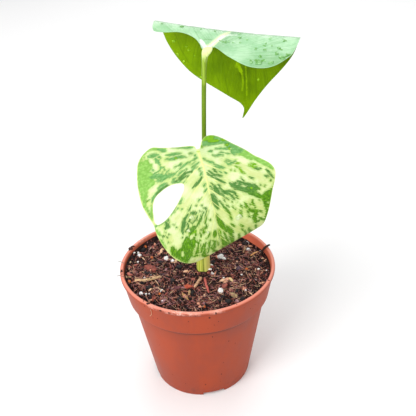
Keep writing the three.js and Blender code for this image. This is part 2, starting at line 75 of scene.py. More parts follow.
class Slot(Enum):
    """The record's material slots."""

    POT = "pot_plastic"
    MIX = "potting_mix"
    STALK = "stalk"
    SHEATH = "sheath"
    UPPER_LEAF = "upper_leaf"
    MARBLED_LEAF = "marbled_leaf"
    PERLITE = "perlite"
    BEAD = "feed_bead"
    BARK = "bark"
    WOOD = "pale_wood"


class Tone(Enum):
    """How green a streak of the marbled leaf is, as its place on the green ramp."""

    LIGHT = 0.0
    MID = 0.3
    DARK = 0.5
    DEEP = 0.75
    BRIGHT = 1.0


# Colours and finishes


def linear(colour: Colour) -> tuple[float, float, float, float]:
    """Turns a screen colour into the linear one that a shader takes.

    Args:
        colour: Red, green and blue from 0 to 255.

    Returns:
        Linear red, green and blue, and an alpha of 1.
    """
    toe, bend = 0.04045, 2.4
    shares = [channel / 255 for channel in colour]
    light = [s / 12.92 if s <= toe else ((s + 0.055) / 1.055) ** bend for s in shares]
    return (light[0], light[1], light[2], 1.0)


class Finish:
    """A procedural material in the making. It holds the colour that is painted so far."""

    def __init__(self, name: str, roughness: float, **sockets: float) -> None:
        """Starts a material with one Principled shader.

        Args:
            name: The material's name.
            roughness: The shader's roughness, which dress can replace by a pattern.
            sockets: Other shader values, by socket name with _ for a space.
        """
        self.material = bpy.data.materials.new(name)
        self.material.use_nodes = True
        self.nodes = self.material.node_tree.nodes
        self.links = self.material.node_tree.links
        self.nodes.clear()
        self.shader = self.add("BsdfPrincipled", {})
        self.add("OutputMaterial", {"Surface": self.shader.outputs["BSDF"]})
        for socket, value in {"Roughness": roughness, **sockets}.items():
            self.shader.inputs[socket.replace("_", " ")].default_value = value

    def add(self, kind: str, inputs: dict[str | int, object], **settings: str) -> bpy.types.ShaderNode:
        """Adds a node.

        Args:
            kind: Its type, without ShaderNode.
            inputs: For each input another node's output, a number or a colour from 0 to 255.
            settings: Its properties.

        Returns:
            The node.
        """
        node = self.nodes.new("ShaderNode" + kind)
        for name, setting in settings.items():
            setattr(node, name, setting)
        for name, value in inputs.items():
            socket = node.inputs[name]
            if isinstance(value, Socket):
                self.links.new(value, socket)
            else:
                socket.default_value = linear(value) if socket.type == "RGBA" else value
        return node

    def place(self) -> Socket:
        """Gives the Object coordinates."""
        return self.add("TexCoord", {}).outputs["Object"]

    def stored(self, attribute: str, output: str = "Fac") -> Socket:
        """Gives a number, or as Vector a vector, that the mesh stores at each point."""
        return self.add("Attribute", {}, attribute_name=attribute).outputs[output]

    def part(self, vector: Socket, axis: str) -> Socket:
        """Gives one of a vector's X, Y and Z."""
        return self.add("SeparateXYZ", {0: vector}).outputs[axis]

    def noise(self, vector: Socket, scale: float, detail: float = 3, rough: float = 0.5,
              stretch: Place | None = None) -> Socket:
        """Adds a noise pattern.

        Args:
            vector: Its coordinates.
            scale: How many features fit in one unit.
            detail: Octaves.
            rough: How strong the finer octaves are.
            stretch: What each axis of the coordinates is multiplied by first.

        Returns:
            The noise, mostly between 0.3 and 0.7.
        """
        if stretch:
            vector = self.add("Mapping", {"Vector": vector, "Scale": stretch}).outputs["Vector"]
        inputs = {"Vector": vector, "Scale": scale, "Detail": detail, "Roughness": rough}
        return self.add("TexNoise", inputs).outputs["Fac"]

    def maths(self, operation: str, first: object, second: object = 0.0) -> Socket:
        """Works on two numbers or outputs with one Math node."""
        return self.add("Math", {0: first, 1: second}, operation=operation).outputs[0]

    def plus(self, first: object, second: object) -> Socket:
        """Adds two numbers or outputs."""
        return self.maths("ADD", first, second)

    def times(self, first: object, second: object) -> Socket:
        """Multiplies two numbers or outputs."""
        return self.maths("MULTIPLY", first, second)

    def swing(self, pattern: Socket, reach: float) -> Socket:
        """Centres a noise on zero and stretches it."""
        return self.times(self.maths("SUBTRACT", pattern, 0.5), reach)

    def step(self, value: Socket, low: float, high: float, top: float = 1.0) -> Socket:
        """Rises smoothly from 0 to top as the value goes from low to high.

        Args:
            value: The number that is looked at.
            low: Where the rise starts. It may be above high, for a fall.
            high: Where the rise ends.
            top: The highest result.

        Returns:
            A number from 0 to top.
        """
        ends = (low, high, 0.0, top) if low < high else (high, low, top, 0.0)
        inputs = {"Value": value, **dict(zip(("From Min", "From Max", "To Min", "To Max"), ends))}
        return self.add("MapRange", inputs, interpolation_type="SMOOTHSTEP").outputs["Result"]

    def ramp(self, value: Socket, *stops: Stop) -> Socket:
        """Turns a number into a colour.

        Args:
            value: The number.
            stops: Places from 0 to 1 and their colours.

        Returns:
            The colour.
        """
        node = self.add("ValToRGB", {"Fac": value})
        elements = node.color_ramp.elements
        while len(elements) < len(stops):
            elements.new(0.5)
        for element, (place, colour) in zip(elements, stops):
            element.position = place
            element.color = linear(colour)
        return node.outputs["Color"]

    def blend(self, share: object, under: object, over: object, mode: str = "MIX") -> Socket:
        """Mixes two colours.

        Args:
            share: How much of the second one shows.
            under: The first colour.
            over: The second colour.
            mode: The blend mode.

        Returns:
            The mixed colour.
        """
        inputs = {"Factor": share, 6: under, 7: over}
        return self.add("Mix", inputs, data_type="RGBA", blend_type=mode).outputs[2]

    def start(self, share: object, under: object, over: object) -> None:
        """Starts the painted colour as a mix of two."""
        self.colour = self.blend(share, under, over)

    def paint(self, over: object, share: object, mode: str = "MIX") -> None:
        """Paints one more colour over what is there, as much as share says."""
        self.colour = self.blend(share, self.colour, over, mode)

    def dress(self, height: Socket | None = None, depth: float = 0.0,
              roughness: Socket | None = None) -> Material:
        """Joins the painted colour and the patterns to the shader.

        Args:
            height: A bump height from 0 to 1, if the surface has one.
            depth: How deep the bump is, in metres.
            roughness: A roughness pattern, if it varies.

        Returns:
            The finished material.
        """
        self.links.new(self.colour, self.shader.inputs["Base Color"])
        if roughness is not None:
            self.links.new(roughness, self.shader.inputs["Roughness"])
        if height is not None:
            bump = self.add("Bump", {"Distance": depth, "Height": height})
            self.links.new(bump.outputs["Normal"], self.shader.inputs["Normal"])
        return self.material


@dataclass(frozen=True)
class PotPlastic:
    """Satin terracotta-coloured plastic, scuffed, with a chalky bloom on parts of its lip."""

    colour: Colour = (162, 62, 26)
    shade: Colour = (148, 55, 24)
    # Painted highlight: the colour the lip's top is lightened to, as light from above would light it.
    lip_highlight: Colour = (246, 154, 132)
    # Painted light: the inner wall is painted lighter than the outside, in place of the light that its
    # shade takes away.
    inside: Colour = (230, 116, 86)
    chalk: Colour = (246, 196, 180)
    # Used both for dirt low on the pot and for the painted shade under the collar and the lip.
    grime_and_shade: Colour = (92, 44, 34)
    stain: Colour = (140, 56, 38)
    roughness: float = 0.5
    splash_height: float = 0.016

    def make(self) -> Material:
        """Builds the material.

        Returns:
            The material.
        """
        ink = Finish("pot_plastic", self.roughness, Specular_IOR_Level=0.34)
        place = ink.place()
        cloud = ink.noise(place, 38, 4, 0.6, (1, 1, 0.5))
        ink.start(ink.step(cloud, 0.38, 0.64), self.shade, self.colour)
        ink.paint(self.shade, ink.step(ink.noise(place, 900, 2), 0.6, 0.72, 0.25))
        run = ink.noise(place, 230, 4, 0.6, (1, 1, 0.12))
        ink.paint(self.stain, ink.step(run, 0.54, 0.74, 0.28))
        # Painted light: the inner wall is lightened against its shade.
        ink.paint(self.inside, ink.stored("inside"))
        # Painted highlight on the lip's top.
        ink.paint(self.lip_highlight, ink.stored("lip_highlight"))
        dirt = ink.step(ink.noise(place, 210, 5, 0.7), 0.5, 0.66)
        low = ink.step(ink.part(place, "Z"), self.splash_height, 0.0, 0.5)
        ink.paint(self.grime_and_shade, ink.times(dirt, low))
        patch = ink.step(ink.noise(place, 420, 5, 0.75), 0.4, 0.64, 0.85)
        ink.paint(self.chalk, ink.times(ink.stored("bloom"), patch))
        # Painted shade, with some dirt, under the collar and under the lip.
        ink.paint(self.grime_and_shade, ink.stored("crease"))
        rough = ink.plus(ink.step(cloud, 0.3, 0.7, 0.16), self.roughness - 0.06)
        return ink.dress(ink.noise(place, 1600, 2), 0.00004, rough)


@dataclass(frozen=True)
class PottingMixGround:
    """Damp dark peat under the crumbs."""

    dark: Colour = (18, 11, 11)
    brown: Colour = (56, 34, 30)

    def make(self) -> Material:
        """Builds the material.

        Returns:
            The material.
        """
        ink = Finish("potting_mix_ground", 0.9, Specular_IOR_Level=0.2)
        cloud = ink.noise(ink.place(), 300, 6, 0.7)
        ink.colour = ink.ramp(cloud, (0.38, self.dark), (0.62, self.brown))
        return ink.dress(cloud, 0.0012)


@dataclass(frozen=True)
class Crumb:
    """Crumbs and fibres of the mix. Each stores a tint from 0 to 1."""

    stops: tuple[Stop, ...] = (
        (0.0, (18, 13, 15)), (0.24, (38, 23, 24)), (0.42, (114, 60, 53)), (0.56, (182, 98, 82)),
        (0.68, (150, 118, 128)), (0.82, (226, 144, 116)), (1.0, (248, 208, 168)),
    )

    def make(self) -> Material:
        """Builds the material.

        Returns:
            The material.
        """
        ink = Finish("potting_mix_crumbs", 0.55, Specular_IOR_Level=0.4)
        shade = ink.noise(ink.place(), 1400, 4, 0.7)
        ink.colour = ink.ramp(ink.plus(ink.stored("tint"), ink.swing(shade, 0.5)), *self.stops)
        return ink.dress(shade, 0.0004)


@dataclass(frozen=True)
class StalkSkin:
    """A living stalk: three greens from its foot up, a stripe above the mark and a paler knee."""

    low: Colour
    middle: Colour
    high: Colour
    knee: Colour
    knee_z: float
    mark_z: float
    mark_x: float = 0.0
    stripe: Colour = (166, 194, 76)

    def make(self, name: str, foot_z: float) -> Material:
        """Builds the material.

        Args:
            name: The material's name.
            foot_z: The height of the stalk's foot in millimetres.

        Returns:
            The material.
        """
        ink = Finish(name, 0.45, Specular_IOR_Level=0.22)
        place = ink.place()
        height = ink.part(place, "Z")
        ink.start(ink.step(height, foot_z * MM, self.mark_z * MM), self.low, self.middle)
        above = ink.step(height, (self.mark_z - 1.5) * MM, (self.mark_z + 1.5) * MM)
        ink.paint(self.high, above)
        line = ink.noise(place, 1500, 3, stretch=(1, 1, 0.04))
        ink.paint(self.low, ink.step(line, 0.42, 0.62, 0.35))
        off = ink.maths("ABSOLUTE", ink.maths("SUBTRACT", ink.part(place, "X"), self.mark_x * MM))
        ink.paint(self.stripe, ink.times(ink.step(off, 0.0006, 0.0002, 0.5), above))
        ragged = ink.plus(height, ink.swing(line, 0.012))
        ink.paint(self.knee, ink.step(ragged, (self.knee_z - 6) * MM, (self.knee_z + 1.5) * MM))
        return ink.dress(line, 0.00008)


@dataclass(frozen=True)
class SheathSkin:
    """The sheath: pale yellow-green with fine lengthwise lines, drier towards its edge."""

    pale: Colour = (228, 232, 122)
    green: Colour = (178, 192, 60)
    dry: Colour = (250, 236, 146)
    crease: Colour = (128, 146, 40)
    middle_x: float = 4.6

    def make(self) -> Material:
        """Builds the material.

        Returns:
            The material.
        """
        ink = Finish("sheath_skin", 0.45, Specular_IOR_Level=0.3)
        place = ink.place()
        line = ink.noise(place, 700, 4, stretch=(1, 1, 0.03))
        ink.colour = ink.ramp(line, (0.4, self.green), (0.58, self.pale))
        across = ink.part(place, "X")
        ink.paint(self.dry, ink.step(across, 0.006, 0.0095, 0.8))
        off = ink.maths("ABSOLUTE", ink.maths("SUBTRACT", across, self.middle_x * MM))
        ink.paint(self.crease, ink.step(off, 0.0011, 0.0003, 0.85))
        return ink.dress(line, 0.0002)


class LeafInk(Finish):
    """A leaf side's material in the making, whose patterns follow the blade and its veins."""

    def __init__(self, name: str, roughness: float, gloss: float) -> None:
        """Starts the material.

        Args:
            name: The material's name.
            roughness: The shader's roughness.
            gloss: Its specular level.
        """
        super().__init__(name, roughness, Specular_IOR_Level=gloss)
        self.vein = self.stored("vein", "Vector")
        self.flat = self.stored("flat", "Vector")

    def grain(self, across: float, along: float, detail: float = 3, rough: float = 0.5,
              half: float = 1) -> Socket:
        """Gives a noise that is stretched along the veins.

        Args:
            across: How many features fit in a millimetre across the veins.
            along: How many fit in a millimetre along them.
            detail: Octaves.
            rough: How strong the finer octaves are.
            half: A number that shifts the pattern.

        Returns:
            The noise.
        """
        return self.noise(self.vein, 1, detail, rough, (across, along, half))

    def cloud(self, size: float, detail: float = 3, rough: float = 0.5) -> Socket:
        """Gives a noise that is even over the flat blade."""
        return self.noise(self.flat, 1, detail, rough, (size, size, 1))

    def mark(self, colour: Colour, name: str, low: float, high: float, top: float = 1.0) -> None:
        """Paints a colour where a stored number goes from low to high."""
        self.paint(colour, self.step(self.stored(name), low, high, top))

    def frayed(self, colour: Colour, name: str, fray: Socket, low: float, high: float,
               top: float) -> None:
        """Paints a colour inside some stored streaks, with an uneven edge.

        Args:
            colour: The colour.
            name: What stores how far inside the streaks a point is.
            fray: What is added to it.
            low: Where the colour starts to show.
            high: Where it shows most.
            top: How much it shows there.
        """
        self.paint(colour, self.step(self.plus(self.stored(name), fray), low, high, top))


@dataclass(frozen=True)
class MarbledSide:
    """The upper side of the older leaf: cream, streaked with green along its veins."""

    cream: Colour = (199, 211, 138)
    cream_light: Colour = (216, 227, 174)
    low_tint: Colour = (236, 240, 214)
    # Painted reflection: the minty sheen of the sky on the shoulder near the knee.
    mint_sheen: Colour = (182, 220, 170)
    halo: Colour = (164, 204, 102)
    rib: Colour = (226, 234, 146)
    vein_pitch: float = 8.5
    greens: tuple[Stop, ...] = (
        (0.0, (118, 172, 68)), (0.3, (90, 149, 72)), (0.5, (68, 118, 46)), (0.75, (66, 118, 0)),
        (1.0, (96, 156, 0)),
    )
    greens_light: tuple[Stop, ...] = (
        (0.0, (144, 196, 94)), (0.3, (120, 176, 102)), (0.5, (92, 144, 70)), (0.75, (108, 164, 4)),
        (1.0, (126, 182, 14)),
    )

    def make(self) -> Material:
        """Builds the material: the cream ground, the green with its flecks, and the veins.

        Returns:
            The material.
        """
        ink = LeafInk("marbled_upper_side", 0.4, 0.18)
        ink.start(ink.step(ink.cloud(0.09), 0.4, 0.62), self.cream, self.cream_light)
        # Painted reflection of the sky on the shoulder near the knee.
        ink.paint(self.mint_sheen, ink.stored("mint_sheen"))
        ink.paint(self.cream_light, ink.step(ink.grain(2.2, 0.12), 0.5, 0.64, 0.5))
        fine = ink.grain(4.2, 0.7, 3, 0.6)
        fray = ink.plus(ink.swing(fine, 2.4), ink.swing(ink.grain(7.5, 1.8, 2, 0.6), 1.6))
        wander = ink.swing(ink.grain(1.5, 0.2, 4, 0.65), 4.2)
        depth = ink.stored("green")
        ragged = ink.plus(depth, ink.plus(wander, fray))
        ink.paint(self.halo, ink.step(ragged, -1.7, -0.2, 0.55))
        tone = ink.stored("tone")
        mottle = ink.step(ink.grain(1.7, 0.35, 4, 0.7), 0.42, 0.62)
        green = ink.blend(mottle, ink.ramp(tone, *self.greens), ink.ramp(tone, *self.greens_light))
        speck = ink.step(ink.grain(2.4, 0.8, 3, 0.6, 1.3), 0.655, 0.69, 0.85)
        near = ink.times(speck, ink.step(depth, -5.0, -1.0))
        share = ink.maths("MAXIMUM", ink.step(ragged, -0.25, 0.25), near)
        fleck = ink.step(ink.grain(3.0, 0.9, 3, 0.6, 2.1), 0.62, 0.66, 0.8)
        fleck = ink.times(fleck, ink.step(depth, 0.1, 1.2))
        share = ink.times(share, ink.maths("SUBTRACT", 1.0, fleck))
        ink.paint(green, share)
        vein, along = ink.part(ink.vein, "X"), ink.part(ink.vein, "Y")
        wave = ink.maths("COSINE", ink.times(vein, math.tau / self.vein_pitch))
        clear = ink.times(ink.step(along, 26.0, 4.0), ink.step(vein, 0.5, 3.0))
        ink.paint(self.rib, ink.times(ink.step(wave, 0.94, 0.995, 0.75), clear))
        ink.mark(self.rib, "rib", -0.2, 0.7, 0.8)
        ink.mark(self.rib, "edge", 0.55, 0.15, 0.5)
        ink.paint(self.low_tint, ink.step(ink.part(ink.flat, "Y"), 25.0, 62.0), "MULTIPLY")
        return ink.dress(ink.plus(fine, ink.times(share, 0.3)), 0.0003)


@dataclass(frozen=True)
class MarbledUnderside:
    """The underside of the older leaf: the same marbling, duller."""

    cream: Colour = (186, 204, 132)
    green: Colour = (112, 152, 72)
    rib: Colour = (208, 220, 146)

    def make(self) -> Material:
        """Builds the material.

        Returns:
            The material.
        """
        ink = LeafInk("marbled_underside", 0.55, 0.1)
        rough = ink.grain(2.6, 0.4, 4, 0.65)
        ragged = ink.plus(ink.stored("green"), ink.swing(rough, 5.0))
        ink.start(ink.step(ragged, -0.5, 0.4, 0.9), self.cream, self.green)
        ink.mark(self.rib, "rib", -0.2, 0.7, 0.8)
        return ink.dress(rough, 0.0004)


@dataclass(frozen=True)
class MintyUnderside:
    """The newer leaf's underside: saturated where the light comes through it, with pale veins."""

    colour: Colour = (112, 148, 0)
    dark: Colour = (88, 121, 0)
    bright: Colour = (131, 169, 0)
    rib: Colour = (164, 206, 8)

    def make(self) -> Material:
        """Builds the material.

        Returns:
            The material.
        """
        ink = LeafInk("minty_underside", 0.55, 0.05)
        ink.start(ink.step(ink.cloud(0.05), 0.38, 0.62), self.dark, self.colour)
        ink.paint(self.dark, ink.step(ink.grain(0.8, 0.03), 0.46, 0.64, 0.6))
        ink.paint(self.bright, ink.stored("glow"))
        fine = ink.grain(3, 0.25)
        ink.paint(self.bright, ink.step(fine, 0.5, 0.7, 0.3))
        ink.mark(self.rib, "rib", 0.1, 0.6, 0.4)
        ink.frayed(self.rib, "mark", ink.swing(fine, 4.0), -0.4, 0.4, 0.8)
        ink.mark(self.dark, "crease", -0.5, 0.3, 0.55)
        return ink.dress(fine, 0.0002)


@dataclass(frozen=True)
class MintySide:
    """The upper side of the newer leaf: light green with a painted reflection of the sky that makes it
    pale mint, glossy, with fine parallel veins.
    """

    # Light green with a painted reflection of the sky in it; pale carries more of it.
    colour: Colour = (146, 198, 146)
    pale: Colour = (172, 214, 170)
    deep: Colour = (108, 162, 100)
    rib: Colour = (230, 246, 190)
    white: Colour = (252, 255, 248)
    green: Colour = (88, 152, 48)

    def make(self) -> Material:
        """Builds the material.

        Returns:
            The material.
        """
        ink = LeafInk("minty_upper_side", 0.27, 0.5)
        # Painted reflection: the pale mint ground stands partly for the sky's sheen.
        ink.start(ink.step(ink.cloud(0.07, 4, 0.6), 0.4, 0.62), self.colour, self.pale)
        line = ink.grain(1.5, 0.04)
        ink.paint(self.deep, ink.step(line, 0.48, 0.64, 0.35))
        ink.paint(self.deep, ink.stored("shade"))
        ink.mark(self.rib, "rib", -0.1, 0.5, 0.9)
        streaky = ink.swing(line, 3.0)
        ink.frayed(self.rib, "band", streaky, -0.9, 1.1, 0.9)
        ink.frayed(self.white, "white", streaky, -0.9, 0.7, 0.9)
        ink.mark(self.deep, "mark", -0.4, 0.3, 0.6)
        ragged = ink.swing(ink.grain(2.4, 0.6, 3, 0.6), 1.6)
        ink.frayed(self.green, "green", ragged, -0.3, 0.25, 0.9)
        ink.mark(self.pale, "edge", 0.6, 0.15, 0.5)
        return ink.dress(line, 0.0006)


@dataclass(frozen=True)
class Water:
    """Water, only partly clear, with a painted colour: the leaf seen through it and the surroundings that
    it reflects.
    """

    name: str
    deep: Colour
    light: Colour
    clearness: float

    def make(self) -> Material:
        """Builds the material.

        Returns:
            The material.
        """
        ink = Finish(self.name, 0.04, IOR=1.33, Transmission_Weight=self.clearness)
        # Painted reflection: the colours of the leaf below and of the darker surroundings.
        ink.colour = ink.ramp(ink.noise(ink.place(), 500, 1), (0.4, self.deep), (0.6, self.light))
        return ink.dress()


@dataclass(frozen=True)
class Bits:
    """A loose bit's finish: two colours, a grain along it, and how rough it is."""

    name: str
    light: Colour
    dark: Colour
    scale: float = 500
    depth: float = 0.0004
    roughness: float = 0.8

    def make(self) -> Material:
        """Builds the material.

        Returns:
            The material.
        """
        ink = Finish(self.name, self.roughness, Specular_IOR_Level=0.35)
        grain = ink.noise(ink.place(), self.scale, 5, 0.7)
        ink.colour = ink.ramp(grain, (0.36, self.dark), (0.6, self.light))
        return ink.dress(grain, self.depth)


# Modelling helpers


def activate(piece: Object) -> None:
    """Selects one object alone and makes it the active one.

    Args:
        piece: The object.
    """
    bpy.ops.object.select_all(action="DESELECT")
    piece.select_set(True)
    bpy.context.view_layer.objects.active = piece


def apply_all(piece: Object) -> None:
    """Applies every modifier of a piece, in order.

    Args:
        piece: The object.
    """
    activate(piece)
    for name in [modifier.name for modifier in piece.modifiers]:
        bpy.ops.object.modifier_apply(modifier=name)


def from_arrays(name: str, points: np.ndarray, faces: Faces) -> Object:
    """Makes a mesh object from its points and faces.

    Args:
        name: The piece's name.
        points: Its points in millimetres, one row each.
        faces: Its faces, as point numbers.

    Returns:
        The new object, smooth shaded.
    """
    mesh = bpy.data.meshes.new(name)
    mesh.from_pydata((points * MM).tolist(), [], faces)
    mesh.update()
    mesh.shade_smooth()
    piece = bpy.data.objects.new(name, mesh)
    bpy.context.scene.collection.objects.link(piece)
    return piece


def taken_apart(model: Object) -> tuple[np.ndarray, Faces]:
    """Reads a model and removes it.

    Args:
        model: The model.

    Returns:
        Its points, one row each, and its faces as point numbers.
    """
    points = np.array([vertex.co for vertex in model.data.vertices])
    faces = [list(face.vertices) for face in model.data.polygons]
    bpy.data.objects.remove(model)
    return points, faces


def new_ball(levels: int) -> Object:
    """Adds a ball that is 1 across, with nothing else selected.

    Args:
        levels: Its subdivisions.

    Returns:
        The ball.
    """
    bpy.ops.object.select_all(action="DESELECT")
    bpy.ops.mesh.primitive_ico_sphere_add(subdivisions=levels, radius=0.5)
    return bpy.context.object


def copies(name: str, shapes: list[np.ndarray] | np.ndarray, faces: Faces) -> Object:
    """Joins differently shaped copies of one model in one object.

    Args:
        name: The piece's name.
        shapes: Each copy's points in millimetres.
        faces: The model's faces.

    Returns:
        The new object, smooth shaded.
    """
    size = len(shapes[0])
    numbers = [[corner + size * i for corner in face] for i in range(len(shapes)) for face in faces]
    return from_arrays(name, np.concatenate(shapes), numbers)


def store(piece: Object, name: str, values: np.ndarray) -> None:
    """Stores a number or a vector at each point of a mesh.

    Args:
        piece: The object.
        name: The attribute's name, which its material reads.
        values: One number or row of three for each point.
    """
    kind, key = ("FLOAT", "value") if values.ndim == 1 else ("FLOAT_VECTOR", "vector")
    attribute = piece.data.attributes.new(name, kind, "POINT")
    attribute.data.foreach_set(key, values.astype(np.float32).ravel())


def hand_over(piece: Object, slot: Slot, skin: Material | None, *nodes: str) -> Object:
    """Dresses a finished piece, rides it on the frame and reports it.

    Args:
        piece: The object.
        slot: The record's slot that its finish comes from. It is not used.
        skin: Its material, unless it has its own already.
        nodes: The CAD nodes that it stands for.

    Returns:
        The same object.
    """
    if skin:
        piece.data.materials.clear()
        piece.data.materials.append(skin)
    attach(piece, BODY)
    if nodes:
        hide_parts(*nodes)
    LOG.info("%s: %d faces", piece.name, len(piece.data.polygons))
    return piece


def catmull_rom(corners: list[np.ndarray], knots: np.ndarray, t: float) -> np.ndarray:
    """Reads one point of a curve's span.

    Args:
        corners: The four stations about the span.
        knots: Their four knots.
        t: The place between the middle knots.

    Returns:
        The point.
    """
    level = corners
    for spans in (((0, 1), (1, 2), (2, 3)), ((0, 2), (1, 3)), ((1, 2),)):
        level = [(low * (knots[end] - t) + high * (t - knots[start])) / (knots[end] - knots[start])
                 for low, high, (start, end) in zip(level, level[1:], spans)]
    return level[0]


def smooth_line(stations: list[Row], per_span: int, closed: bool = False) -> np.ndarray:
    """Runs a centripetal Catmull-Rom curve through stations.

    Args:
        stations: Rows of two or more numbers. The curve is even in all of them.
        per_span: Points on each span.
        closed: Whether the last station leads back to the first.

    Returns:
        The curve's points, one row each.
    """
    rows = np.array(stations, float)
    if closed:
        rows = np.vstack([rows[-1], rows, rows[:2]])
    else:
        rows = np.vstack([2 * rows[0] - rows[1], rows, 2 * rows[-1] - rows[-2]])
    points = []
    for corners in zip(rows, rows[1:], rows[2:], rows[3:]):
        spans = [max(math.sqrt(np.linalg.norm(b - a)), 1e-6) for a, b in zip(corners, corners[1:])]
        knots = np.cumsum([0.0, *spans])
        for i in range(per_span):
            t = knots[1] + (knots[2] - knots[1]) * i / per_span
            points.append(catmull_rom(list(corners), knots, t))
    if not closed:
        points.append(rows[-2])
    return np.array(points)


def ring_closed(loop: np.ndarray) -> np.ndarray:
    """Repeats a loop's first point at its end."""
    return np.vstack([loop, loop[:1]])


def distance_to_line(points: np.ndarray, line: np.ndarray) -> tuple[np.ndarray, np.ndarray]:
    """Measures how far points are from a line.

    Args:
        points: The points, one row each.
        line: The line's points, one row each. One row alone is a spot.

    Returns:
        The distance of each point, and how far along the line its foot is, from 0 to 1.
    """
    if len(line) == 1:
        return np.linalg.norm(points - line[0], axis=1), np.full(len(points), 0.5)
    best = np.full(len(points), np.inf)
    along = np.zeros(len(points))
    lengths = np.linalg.norm(np.diff(line, axis=0), axis=1)
    starts = np.concatenate([[0.0], np.cumsum(lengths)])
    for i, (start, end) in enumerate(zip(line, line[1:])):
        span = end - start
        share = np.clip((points - start) @ span / max(span @ span, 1e-9), 0, 1)
        away = np.linalg.norm(points - start - share[:, None] * span, axis=1)
        nearer = away < best
        best[nearer] = away[nearer]
        along[nearer] = (starts[i] + share[nearer] * lengths[i]) / starts[-1]
    return best, along


def inside(points: np.ndarray, loop: np.ndarray) -> np.ndarray:
    """Says which points lie inside a closed loop.

    Args:
        points: The points, one row each.
        loop: The loop's corners.

    Returns:
        True for each point inside.
    """
    found = np.zeros(len(points), bool)
    x, y = points[:, 0], points[:, 1]
    for (x0, y0), (x1, y1) in zip(loop, np.roll(loop, -1, axis=0)):
        crosses = (y0 > y) != (y1 > y)
        if y1 != y0:
            found ^= crosses & (x < x0 + (x1 - x0) * (y - y0) / (y1 - y0))
    return found


def around(turn_deg: float, radius: float, z: float = 0.0) -> np.ndarray:
    """Gives the place at a turn from the front, at a radius and a height, about the pot's axis."""
    turn = math.radians(turn_deg)
    return np.array([math.sin(turn) * radius, -math.cos(turn) * radius, z])


def spin_profile(name: str, profile: list[Flat], steps: int) -> Object:
    """Turns a profile about the Z axis into a closed shell.

    Args:
        name: The piece's name.
        profile: Radius and height in millimetres, from the axis round and back to the axis.
        steps: How many facets one turn has.

    Returns:
        The new object.
    """
    bpy.ops.object.select_all(action="DESELECT")
    bpy.ops.mesh.primitive_plane_add(size=MM, location=(0, 0, 0))
    piece = bpy.context.object
    piece.name = name
    bpy.ops.object.mode_set(mode="EDIT")
    bpy.ops.mesh.select_all(action="SELECT")
    bpy.ops.mesh.merge(type="CENTER")
    bpy.ops.transform.translate(value=(profile[0][0] * MM, 0, profile[0][1] * MM))
    for (r0, z0), (r1, z1) in zip(profile, profile[1:]):
        move = ((r1 - r0) * MM, 0, (z1 - z0) * MM)
        bpy.ops.mesh.extrude_region_move(TRANSFORM_OT_translate={"value": move})
    bpy.ops.mesh.select_all(action="SELECT")
    bpy.ops.mesh.spin(steps=steps, angle=math.tau, center=(0, 0, 0), axis=(0, 0, 1))
    bpy.ops.mesh.select_all(action="SELECT")
    bpy.ops.mesh.remove_doubles(threshold=0.00001)
    bpy.ops.mesh.normals_make_consistent(inside=False)
    bpy.ops.object.mode_set(mode="OBJECT")
    return piece


def rounded(corners: list[Place], steps: int = 4) -> list[Flat]:
    """Rounds the corners of a profile.

    Args:
        corners: Radius, height and corner radius, in millimetres.
        steps: Spans on each rounded corner.

    Returns:
        The profile with an arc at each corner.
    """
    profile: list[Flat] = [corners[0][:2]]
    for before, corner, after in zip(corners, corners[1:], corners[2:]):
        if not corner[2]:
            profile.append(corner[:2])
            continue
        middle = Vector(corner[:2])
        back = Vector(before[:2]) - middle
        on = Vector(after[:2]) - middle
        half = back.angle(on) / 2
        reach = min(corner[2] / math.tan(half), back.length * 0.49, on.length * 0.49)
        start = middle + back.normalized() * reach
        end = middle + on.normalized() * reach
        for i in range(steps + 1):
            t = i / steps
            point = start * (1 - t) ** 2 + middle * 2 * t * (1 - t) + end * t * t
            profile.append((point.x, point.y))
    profile.append(corners[-1][:2])
    return profile


# The pot


